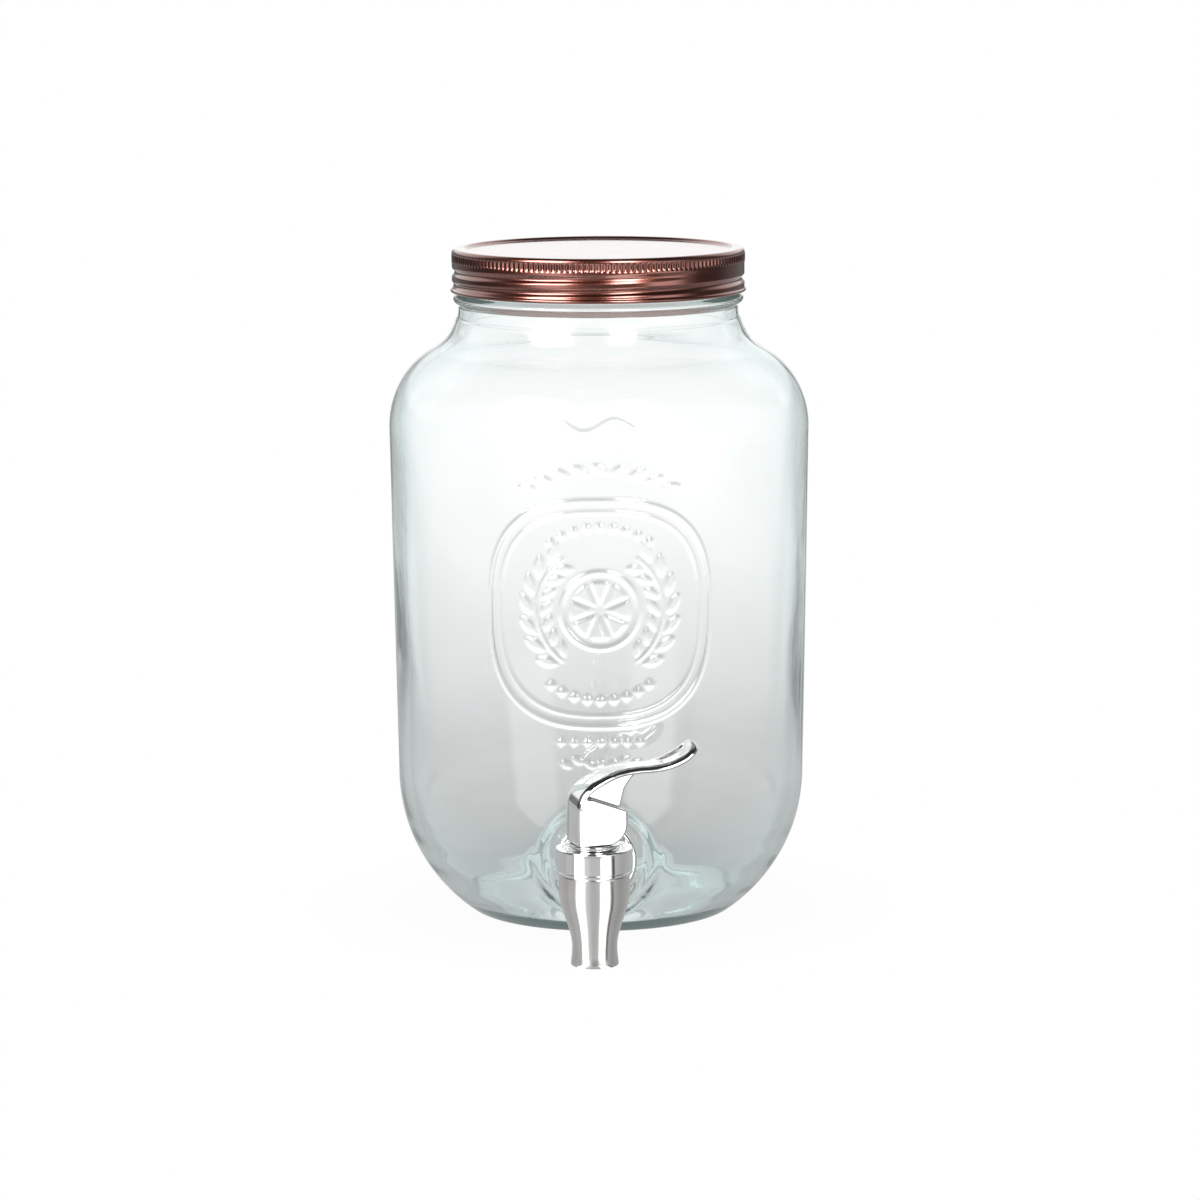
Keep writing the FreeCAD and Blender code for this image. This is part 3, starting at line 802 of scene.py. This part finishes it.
def zip_rings(points, ring_a, angle_a, ring_b, angle_b):
    """Triangles between two rings whose points lie at different angles."""
    a = [ring_a[i] for i in np.argsort(angle_a)]
    b = [ring_b[i] for i in np.argsort(angle_b)]
    at_a = np.sort(angle_a)
    at_b = np.sort(angle_b)
    faces = []
    i = j = 0
    na, nb = len(a), len(b)
    while i < na or j < nb:
        next_a = at_a[i + 1] if i + 1 < na else (at_a[0] + 2 * math.pi if i < na else 1e9)
        next_b = at_b[j + 1] if j + 1 < nb else (at_b[0] + 2 * math.pi if j < nb else 1e9)
        if next_a <= next_b:
            faces.append((a[i % na], a[(i + 1) % na], b[j % nb]))
            i += 1
        else:
            faces.append((a[i % na], b[(j + 1) % nb], b[j % nb]))
            j += 1
    return faces


finish_piece(jar(), "glass_jar", "clear_glass")

# ---- lid ----

BAND_R = 57.0
SHEET = 0.5
KNURLS = 168
GROOVE_Z = 247.6
GROOVE_DEPTH = 0.95


def lid_shape(r, z, a):
    """Pressed knurls under the rim, and one rolled thread that climbs round the skirt."""
    wall = r > 54.0
    ridge = smoothstep(z, 254.9, 256.4) * (1 - smoothstep(z, 258.2, 258.8))
    r = r - 0.40 * (0.5 - 0.5 * np.cos(KNURLS * a)) * ridge * wall
    turn = np.degrees(np.mod(a, 2 * math.pi))
    for lap in (0, 1):
        at = turn + 360 * lap
        centre = GROOVE_Z + THREAD_PITCH * (at - 270) / 360
        ends = smoothstep(at, 150, 205) * (1 - smoothstep(at, 610, 690))
        depth = np.cos(np.clip((z - centre) / 1.9, -1, 1) * math.pi / 2) ** 2
        r = r - GROOVE_DEPTH * depth * ends * wall
    return r, z


def lid():
    corner = (BAND_R - 1.6, LID_TOP - 1.6)
    panel_z = LID_TOP - 0.9
    under_z = panel_z - SHEET
    hem = (56.85, 244.3)
    top = [(r, panel_z) for r in (0.001, 12, 24, 36, 44, 49, 50.6, 51.2)]
    top += [(51.5, panel_z + 0.08), (51.85, panel_z + 0.45)]
    top += [(52.2, LID_TOP - 0.08), (52.6, LID_TOP), (54.0, LID_TOP)]
    outside = resample([(BAND_R, 258.9), (BAND_R, 245.2)], 0.28)
    inside = resample([(BAND_R - SHEET, 245.2), (BAND_R - SHEET, 258.9)], 0.5)
    rim = arc(corner, 1.6, 90, 0, 10)
    curl = arc(hem, 0.75, 60, -205, 22)
    back = arc(corner, 1.6 - SHEET, 0, 90, 20)
    under = [(52.7, LID_TOP - SHEET), (52.3, LID_TOP - SHEET - 0.1), (51.7, under_z + 0.1)]
    under += [(r, under_z) for r in (51.3, 48, 40, 24, 0.001)]
    rows = np.vstack([top, rim, outside[1:], curl, inside, back, under])
    return turned("lid_pressing", rows[::-1], KNURLS * 6, None, lid_shape, 50.0)


finish_piece(lid(), "lid_shell", "copper_lacquer")

# ---- tap ----

RING_R = 14.39
RING_LOW = 36.3
RING_TOP = BONNET_HIGH[2] - 1.5
SPIGOT_LOW = 24.0
NECK_TUBE_R = 6.0
FLANGE_R = 15.5
FLANGE_BACK = WASHER_LOW[1]
PASSAGE_R = 3.8


def fillet(points, radius, steps=5):
    """Rounds the corners of a closed or open outline given as (r, z, round) rows."""
    out = []
    n = len(points)
    for i, (x, y, share) in enumerate(points):
        here = np.array([x, y], float)
        size = radius * share
        if i in (0, n - 1) or size == 0:
            out.append(tuple(here))
            continue
        before = np.array(points[i - 1][:2], float) - here
        after = np.array(points[i + 1][:2], float) - here
        a = here + before / np.linalg.norm(before) * min(size, np.linalg.norm(before) / 2)
        b = here + after / np.linalg.norm(after) * min(size, np.linalg.norm(after) / 2)
        for t in np.linspace(0, 1, steps):
            out.append(tuple((1 - t) ** 2 * a + 2 * t * (1 - t) * here + t * t * b))
    return out


def drill(name, radius, start, end, segments):
    """A round bar in line with the tap hole, to cut with."""
    rows = [(0, start), (radius, start), (radius, end), (0, end)]
    return turned(name, rows, segments, along_bore)


def casting():
    """Ring, spigot, neck, flange and threaded shank."""
    ring = [
        (8.6, SPIGOT_LOW, 0), (10.55, SPIGOT_LOW, 0.5), (10.55, RING_LOW, 0),
        (RING_R, RING_LOW, 1.0), (RING_R, RING_LOW + 1.1, 0.0),
        (RING_R - 0.22, RING_LOW + 1.3, 0.3), (RING_R, RING_LOW + 1.5, 0.0),
        (RING_R, RING_TOP, 1.3), (11.9, RING_TOP, 0.6), (11.6, RING_TOP - 0.5, 0.3),
        (10.2, RING_TOP - 0.5, 0.3), (10.2, 38.6, 0.3), (8.6, 38.6, 0.3),
    ]
    body = turned("tap_casting", fillet(ring, 0.5), 160, about_tap)
    start = TAP_Y + 9.5
    neck_end = FLANGE_BACK - 3.0
    stem = [
        (0.0, start, 0), (NECK_TUBE_R, start, 0), (NECK_TUBE_R, neck_end, 2.2),
        (FLANGE_R, neck_end, 1.4), (FLANGE_R, FLANGE_BACK, 0.3), (7.9, FLANGE_BACK, 0),
    ]
    profile = fillet(stem, 1.0)
    for y in np.arange(FLANGE_BACK + 0.4, SHANK_END - 1.2, 0.25):
        profile.append((7.9, y))
    profile += [(7.6, SHANK_END - 0.9), (6.9, SHANK_END), (0.0, SHANK_END)]

    def thread(r, z, a):
        cut = (z > FLANGE_BACK + 0.6) & (z < SHANK_END - 1.0) & (r > 7.5)
        wave = 0.5 + 0.5 * np.cos(2 * math.pi * z / 1.5 - a)
        return r - 0.45 * wave * cut, z

    neck = turned("neck", profile, 72, along_bore, thread)
    combine(body, neck, "UNION")
    combine(body, drill("passage", PASSAGE_R, TAP_Y, SHANK_END + 1, 48), "DIFFERENCE")
    shade(body.data, 32.0)
    return body


def nozzle():
    """The satin barrel, waisted and flared, with its conical seat and rear notch."""
    top = 36.3
    outline = [(13.1, top), (13.3, 32.0), (13.2, 28.4), (12.6, 24.4), (11.4, 20.4)]
    outline += [(10.0, 16.3), (8.95, 12.5), (8.45, 9.0), (8.55, 5.5), (8.95, 2.0)]
    outside = [tuple(p) for p in spline(outline, 6)]
    low = NOZZLE_END
    rows = [(10.6, top), (12.7, top), (12.95, top - 0.12), (13.1, top - 0.45)]
    rows += outside[1:]
    rows += [(8.9, low + 0.35), (8.7, low + 0.08), (8.45, low)]
    rows += [(7.6, low), (7.25, low + 0.15), (7.1, low + 0.5)]
    rows += [(5.0, 8.5), (5.0, 18.5), (8.6, 22.1), (10.6, 22.1)]
    piece = turned("nozzle_barrel", rows[::-1], 144, about_tap)
    combine(piece, drill("notch", 6.1, TAP_Y + 5, TAP_Y + 20, 64), "DIFFERENCE")
    shade(piece.data, 35.0)
    return piece


def bonnet():
    top = BONNET_HIGH[2]
    rows = [
        (2.68, 38.6, 0), (10.15, 38.6, 0.4), (10.15, 41.0, 0), (8.6, 41.0, 0), (8.6, 42.6, 0),
        (10.15, 42.6, 0), (10.15, 45.2, 0.8), (9.6, 45.2, 0.3), (9.6, top, 1.0),
        (2.68, top, 0.6),
    ]
    return turned("bonnet_plug", fillet(rows, 0.4), 128, about_tap)


finish_piece(casting(), "tap_body", "polished_chrome")
finish_piece(nozzle(), "outlet_nozzle", "satin_chrome")
finish_piece(bonnet(), "bonnet", "polished_chrome")

# ---- lever ----

LEVER_YAW = math.radians(23.0)
HEAD_Z = BONNET_HIGH[2] + 0.15
PIVOT_H = 7.6
NOSE = 3.3
HALF_W = 7.5
PIN_HOLE_R = 1.55
# The middle line of the handle's section, ahead of the stem and up, from the foot of the cheeks.
STRIP = [(-7.5, 0.8), (-7.6, 5.6), (-7.6, 10.5), (-7.4, 15.0), (-6.2, 18.6), (-3.2, 21.6)]
STRIP += [(2.0, 24.2), (8.0, 26.2), (15.5, 27.0), (22.0, 27.0), (28.2, 27.8), (34.2, 30.0)]
STRIP += [(38.0, 32.8), (40.0, 35.2)]


def on_stem(points):
    """From the lever's own directions (ahead, aside, up) to the frame."""
    u, w, z = np.asarray(points).T
    c, s = math.cos(LEVER_YAW), math.sin(LEVER_YAW)
    return np.stack([u * c - w * s, TAP_Y + u * s + w * c, HEAD_Z + z], axis=1)


def rounded_box(u0, u1, w, back_r, front_r, n=10):
    """A rectangle in plan with its own radius at the back and front corners."""
    out = []
    for cu, cw, r, start in (
        (u1 - front_r, w - front_r, front_r, 0),
        (u0 + back_r, w - back_r, back_r, 90),
        (u0 + back_r, -w + back_r, back_r, 180),
        (u1 - front_r, -w + front_r, front_r, 270),
    ):
        for t in np.linspace(start, start + 90, n):
            a = math.radians(t)
            out.append((cu + r * math.cos(a), cw + r * math.sin(a)))
    return out


def lever_head():
    sections = []
    for z in np.concatenate([np.arange(0, 17.6, 0.3), [17.8]]):
        if z < PIVOT_H:
            ahead = NOSE + math.sqrt(PIVOT_H**2 - (PIVOT_H - z) ** 2)
            ahead = max(ahead, NOSE + 1.0)
        elif z < 12.4:
            ahead = NOSE + PIVOT_H - 0.1 * (z - PIVOT_H) / 5
        else:
            ahead = 10.8 - (z - 12.4) * 14.7 / 5.6
        back = np.interp(z, [p[1] for p in STRIP], [p[0] for p in STRIP]) - 1.0
        ahead = max(ahead, back + 3.0)
        sections.append([(u, w, z) for u, w in rounded_box(back, ahead, HALF_W, 1.9, 0.9)])
    return loft("lever_casting", sections)


def strip():
    """The S-shaped handle: crowned above, thicker along its middle, with a thumb hollow."""
    line = spline(STRIP, 9)
    direction = np.gradient(line, axis=0)
    direction /= np.linalg.norm(direction, axis=1)[:, None]
    lengths = run(line)
    total = lengths[-1]
    sections = []
    m = 17
    for (u, z), (du, dz), at in zip(line, direction, lengths):
        left = total - at
        half = HALF_W - 0.6 * smoothstep(at, 26, 40) + 0.6 * smoothstep(at, 48, 60)
        tip = 6.0
        if left < tip:
            half = half * math.sqrt(max(1 - ((tip - left) / tip) ** 2, 0.02)) ** 0.8
        bevel = min(2.1, 0.45 * half)
        top = 1.45
        hollow = 1.1 * smoothstep(at, total - 19, total - 13)
        hollow = hollow * (1 - smoothstep(at, total - 4.5, total - 2.0))
        ring = []
        for t in np.linspace(-1, 1, m):
            dip = hollow * (1 - smoothstep(abs(t), 0.4, 0.95))
            ring.append(((half - bevel) * t, top + 0.25 * (1 - t * t) - dip))
        edge = [(half - 0.66 * bevel, 1.15), (half - 0.33 * bevel, 0.7), (half, 0.05)]
        edge += [(half, -0.55), (half - 0.25, -1.05), (half - 0.7, -1.25)]
        ring += edge
        for t in np.linspace(1, -1, m):
            ring.append(((half - 1.2) * t, -1.25))
        ring += [(-w, d) for w, d in reversed(edge)]
        sections.append([(u - dz * d, w, z + du * d) for w, d in ring])
    return loft("strip", np.array(sections)[:, ::-1])


def in_side_view(points):
    x, z, d = points.T
    return np.stack([x, -d, z], axis=1)


def lever():
    head = lever_head()
    web = [(-6.0, 15.5), (8.0, 11.5), (9.6, 12.4), (10.2, 15.5), (11.5, 20.2)]
    web += [(14.2, 23.8), (18.0, 26.6), (8.0, 25.8), (-4.0, 20.4)]
    combine(head, strip(), "UNION")
    combine(head, prism("web", web, -2.6, 2.6, in_side_view), "UNION")
    slot = [(-6.0, -1.0), (16.0, -1.0), (16.0, 13.2), (-5.0, 13.2), (-6.0, 12.2)]
    combine(head, prism("slot", slot, -3.1, 3.1, in_side_view), "DIFFERENCE")
    turn = np.linspace(0, 2 * math.pi, 32, endpoint=False)
    socket = [(PIN_HOLE_R * math.cos(t), PIVOT_H + PIN_HOLE_R * math.sin(t)) for t in turn]
    combine(head, prism("socket", socket, -5.6, 5.6, in_side_view), "DIFFERENCE")
    remesh = head.modifiers.new("skin", "REMESH")
    remesh.mode = "VOXEL"
    remesh.voxel_size = 0.22 * MM
    soften = head.modifiers.new("soften", "SMOOTH")
    soften.iterations = 16
    soften.factor = 0.5
    apply_modifiers(head)
    n = len(head.data.vertices)
    co = np.zeros(n * 3)
    head.data.vertices.foreach_get("co", co)
    placed = on_stem(co.reshape(-1, 3) / MM) * MM
    head.data.vertices.foreach_set("co", placed.reshape(-1))
    head.data.update()
    shade(head.data, 60.0)
    return head


finish_piece(lever(), "lever", "polished_chrome")

HAIR = 0.03  # between faces that touch, so that each shows its own material

# ---- fixings inside the jar ----


def washer(name, low, high):
    low, high = low + HAIR, high - HAIR
    rows = [(8.0, low, 0), (14.2, low, 0.9), (14.2, high, 0.9), (8.0, high, 0)]
    return turned(name, fillet(rows, 0.5), 96, along_bore)


def lock_nut():
    """Flanged hexagon nut with chamfered corners."""
    low, high = NUT_LOW[1], NUT_HIGH[1]
    flange = low + 2.0

    def hexagon(r, z, a):
        flat = 11.5 / np.cos((a + math.pi / 6) % (math.pi / 3) - math.pi / 6)
        limit = np.minimum(flat, 13.28)
        outer = (z > flange + 0.05) & (r > 10.5)
        chamfer = np.where(z > high - 0.9, (z - (high - 0.9)) * 1.6, 0)
        return np.where(outer, np.minimum(limit, 13.0 - chamfer), r), z

    rows = [(8.0, low), (13.3, low), (13.6, low + 0.3), (13.6, flange - 0.3), (13.3, flange)]
    rows += [(13.0, flange + 0.1), (13.0, high - 0.9), (13.0, high - 0.5), (13.0, high)]
    rows += [(8.0, high)]
    return turned("lock_nut_moulding", rows, 144, along_bore, hexagon, 30.0)


finish_piece(washer("outer_seal", WASHER_LOW[1], WASHER_HIGH[1]), "outer_washer", "clear_silicone")
finish_piece(washer("inner_seal", INNER_LOW[1], INNER_HIGH[1]), "inner_washer", "clear_silicone")
finish_piece(lock_nut(), "lock_nut", "white_nylon")

# ---- valve spring ----

SPRING_LOW, SPRING_HIGH = box_mm("valve_spring")
WIRE_R = 0.45
COIL_R = (SPRING_HIGH[0] - SPRING_LOW[0]) / 2 - WIRE_R
COIL_TURNS = 6.5


def spring():
    """Round wire wound to closed end coils."""
    t = np.linspace(0, COIL_TURNS, 420)
    off_end = np.minimum(t, COIL_TURNS - t)
    rate = 0.5 + 0.5 * smoothstep(off_end, 0.7, 1.3)
    climb = np.concatenate([[0], np.cumsum(rate[1:])])
    low = SPRING_LOW[2] + WIRE_R + HAIR
    high = SPRING_HIGH[2] - WIRE_R - HAIR
    z = low + (high - low) * climb / climb[-1]
    sections = []
    for turn, height in zip(2 * math.pi * t, z):
        ring = []
        for p in np.linspace(0, 2 * math.pi, 12, endpoint=False):
            r = COIL_R + WIRE_R * math.sin(p)
            up = height + WIRE_R * math.cos(p)
            ring.append((r * math.cos(turn), TAP_Y + r * math.sin(turn), up))
        sections.append(ring)
    return loft("spring_coils", sections, 60.0)


coils = finish_piece(spring(), "valve_spring", "stainless_steel")
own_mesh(coils)

CARRIED = {
    "lid_liner": "liner_compound", "nozzle_o_ring": "black_rubber",
    "bonnet_o_ring": "black_rubber", "stem_o_ring": "black_rubber", "valve_stem": "white_acetal",
    "spring_washer": "stainless_steel", "seat_cup": "clear_silicone",
    "pivot_pin": "stainless_steel",
}
for node, slot in CARRIED.items():
    for holder in frame["nodes"][node].material_slots:
        holder.material = MATERIALS[slot]

# ---- floor, light and camera ----

FLOOR_SIZE = 9.0
PEAK = 12.0  # brightness of the softboxes, beside 1 for a surface that just shows as white
FLOOR_DROP = 0.0002

# What the object mirrors: brightness by direction, in degrees round from +X.
BY_TAP = [
    (-180, 0.58), (-161, 0.58), (-150, 0.5), (-145, 2.6), (-122, 2.6), (-116, 0.8),
    (-106, 0.75), (-98, 0.6), (-72, 0.6), (-67, 2.6), (-42, 2.6), (-37, 0.5), (-33, 0.1),
    (-29, 0.1), (-25, 0.55), (0, 0.42), (90, 0.6), (180, 0.5),
]
FAR_OFF = [
    (-180, 0.08), (-160, 0.10), (-146, 0.35), (-136, 1.5), (-120, 2.1), (-110, 0.9),
    (-100, 0.35), (-90, 0.22), (-66, 0.22), (-54, 0.5), (-44, 1.9), (-28, 1.7), (-16, 0.4),
    (-4, 0.1), (15, 0.1), (35, 0.22), (62, 0.22), (74, 0.08), (82, 1.15), (98, 1.15),
    (106, 0.08), (118, 0.22), (145, 0.22), (165, 0.1), (180, 0.08),
]
OVERHEAD = [
    (-180, 0.16), (-160, 0.16), (-153, 1.5), (-148, 12.0), (-118, 12.0), (-111, 1.5),
    (-104, 0.16), (-86, 0.16), (-80, 2.0), (-75, 12.0), (-60, 12.0), (-54, 1.5), (-44, 0.16),
    (20, 0.16), (40, 1.1), (152, 1.1), (170, 0.16),
]
CEILING = [(-180, 0.04), (45, 0.04), (70, 0.3), (110, 0.3), (135, 0.04), (180, 0.04)]


def lamps(stops):
    """Brightnesses as shares of PEAK, which is what a colour ramp can hold."""
    return [(angle, level / PEAK) for angle, level in stops]


def polar(n, x, y):
    """Distance, and direction in degrees, of a point in plan."""
    distance = n.math("SQRT", n.math("ADD", n.math("MULTIPLY", x, x), n.math("MULTIPLY", y, y)))
    return distance, n.math("MULTIPLY", n.math("ARCTAN2", y, x), 180 / math.pi)


def times(n, a, b):
    b = b if isinstance(b, bpy.types.NodeSocket) else (b,) * 3
    return n.node("ShaderNodeVectorMath", {0: a, 1: b}, operation="MULTIPLY")


def flags(n, angle, distance):
    """Two grey flags behind the jar, seen through the edges of its glass."""
    off = n.math("ABSOLUTE", n.math("SUBTRACT", angle, 90.0))
    near = [(0, 1.0), (22, 1.0), (30, 0.42), (38, 0.42), (48, 0.8), (180, 0.9)]
    far = [(0, 1.0), (12, 1.0), (20, 0.78), (34, 0.78), (44, 0.86), (180, 0.9)]
    past = n.ramp(distance, [(0.0, 0.0), (0.65, 0.0), (1.3, 1.0)], 0.0, 2.0)
    clear = n.ramp(distance, [(0.0, 0.0), (0.3, 0.0), (0.5, 1.0)], 0.0, 2.0)
    shade_near = n.mix(clear, (1.0, 1.0, 1.0), n.ramp(off, near, 0.0, 180.0))
    return n.mix(past, shade_near, n.ramp(off, far, 0.0, 180.0))


def by_ray(n, seen, through, mirrored):
    """One colour for the camera, one for light that comes through the glass, one for the rest."""
    path = n.node("ShaderNodeLightPath")
    passed = n.node("ShaderNodeLightPath", out=6)
    return n.mix(path, n.mix(passed, mirrored, through), seen)


def floor():
    """A pale glowing floor, mirrored by the object as lit from two low softboxes in front, with a
    painted contact shadow round the jar for the camera and a painted shadow round the jar for other
    rays.
    """
    size = FLOOR_SIZE
    mesh = bpy.data.meshes.new("floor")
    corners = [(-size, -size), (size, -size), (size, size), (-size, size)]
    mesh.from_pydata([(x, y, -FLOOR_DROP) for x, y in corners], [], [(0, 1, 2, 3)])
    obj = add("floor", mesh)
    mat, n = new_material("pale_floor")
    x, y, _ = n.xyz(n.node("ShaderNodeNewGeometry"))
    distance, direction = polar(n, x, y)
    from_tap, round_tap = polar(n, x, n.math("SUBTRACT", y, TAP_Y * MM))
    # painted shadow: the floor seen through the glass or mirrored is grey at the jar and brightens
    # to white about a metre away
    stops = [(0, 0.50), (0.2, 0.55), (0.34, 0.63), (0.5, 0.79), (0.9, 0.98), (1.4, 1.08)]
    painted_shadow_round_jar = n.ramp(distance, stops, 0.0, 2.0)
    through = times(n, painted_shadow_round_jar, flags(n, direction, distance))
    open_floor = times(n, painted_shadow_round_jar, 0.6 / PEAK)
    near = n.ramp(from_tap, [(0.0, 1.0), (0.42, 1.0), (0.62, 0.0)], 0.0, 1.0)
    far = n.ramp(distance, [(0.0, 0.0), (0.95, 0.0), (1.3, 1.0)], 0.0, 2.0)
    mirrored = n.mix(near, open_floor, n.ramp(round_tap, lamps(BY_TAP), -180, 180))
    mirrored = n.mix(far, mirrored, n.ramp(direction, lamps(FAR_OFF), -180, 180))
    # painted contact shadow: the floor the camera sees is slightly darker within 12 cm of the jar's
    # axis
    seen = n.ramp(distance, [(0.0, 0.96), (0.06, 0.975), (0.12, 1.0)], 0.0, 1.0)
    colour = by_ray(n, seen, through, times(n, mirrored, PEAK))
    n.surface(n.node("ShaderNodeEmission", {"Color": colour, "Strength": 1.0}))
    mesh.materials.append(mat)


def world():
    """Soft studio surroundings: a white backdrop, dim sides and ceiling, two softboxes in front."""
    w = bpy.data.worlds.new("studio")
    w.use_nodes = True
    bpy.context.scene.world = w
    n = Nodes(w.node_tree)
    x, y, z = n.xyz(n.node("ShaderNodeTexCoord", out=0))
    _, azimuth = polar(n, x, y)
    elevation = n.math("MULTIPLY", n.math("ARCSINE", z), 180 / math.pi)
    low = n.ramp(azimuth, lamps(FAR_OFF), -180, 180)
    high = n.ramp(azimuth, lamps(OVERHEAD), -180, 180)
    raised = n.ramp(elevation, [(0, 0.0), (6, 0.0), (11, 1.0)], 0.0, 90.0)
    fade = n.ramp(elevation, [(0, 1.0), (36, 1.0), (56, 0.0)], 0.0, 90.0)
    ceiling = n.ramp(azimuth, lamps(CEILING), -180, 180)
    mirrored = times(n, n.mix(raised, low, high), fade)
    mirrored = n.node("ShaderNodeVectorMath", {0: mirrored, 1: ceiling}, operation="MAXIMUM")
    dim = n.ramp(elevation, [(0, 1.0), (30, 1.0), (60, 0.75), (90, 0.6)], 0.0, 90.0)
    through = times(n, times(n, flags(n, azimuth, 2.0), dim), 1.08)
    colour = by_ray(n, (1.0, 1.0, 1.0), through, times(n, mirrored, PEAK))
    background = n.node("ShaderNodeBackground", {"Color": colour, "Strength": 1.0})
    out = n.tree.nodes.new("ShaderNodeOutputWorld")
    n.tree.links.new(background, out.inputs["Surface"])


CAMERA_DISTANCE = 1.7696
CAMERA_TURN = math.radians(1.4)
CAMERA_HEIGHT = 0.4048
CAMERA_PITCH = math.radians(80.91)
CAMERA_ROLL = math.radians(-0.3)


def camera():
    data = bpy.data.cameras.new("camera")
    data.lens = 136.83
    data.sensor_width = 36.0
    data.clip_end = 60.0
    obj = add("camera", data)
    across = CAMERA_DISTANCE * math.sin(CAMERA_TURN)
    back = -CAMERA_DISTANCE * math.cos(CAMERA_TURN)
    place = Matrix.Translation((across, back, CAMERA_HEIGHT))
    turn = Matrix.Rotation(CAMERA_TURN, 4, "Z") @ Matrix.Rotation(CAMERA_PITCH, 4, "X")
    obj.matrix_world = place @ turn @ Matrix.Rotation(CAMERA_ROLL, 4, "Z")
    bpy.context.scene.camera = obj


def area_light(name, place, target, size, power):
    data = bpy.data.lights.new(name, "AREA")
    data.shape = "RECTANGLE"
    data.size, data.size_y = size
    data.energy = power
    obj = add(name, data)
    obj.location = place
    aim = Vector(target) - Vector(place)
    obj.rotation_euler = aim.to_track_quat("-Z", "Y").to_euler()
    obj.visible_glossy = False
    obj.visible_transmission = False


floor()
world()
area_light("softbox_left", (-1.3, -1.5, 1.3), (0, 0, 0.13), (1.4, 1.2), 9.0)
area_light("softbox_right", (1.4, -1.3, 1.3), (0, 0, 0.13), (1.4, 1.2), 9.0)
camera()
bpy.context.scene.view_settings.view_transform = "Standard"
bpy.context.scene.view_settings.look = "None"
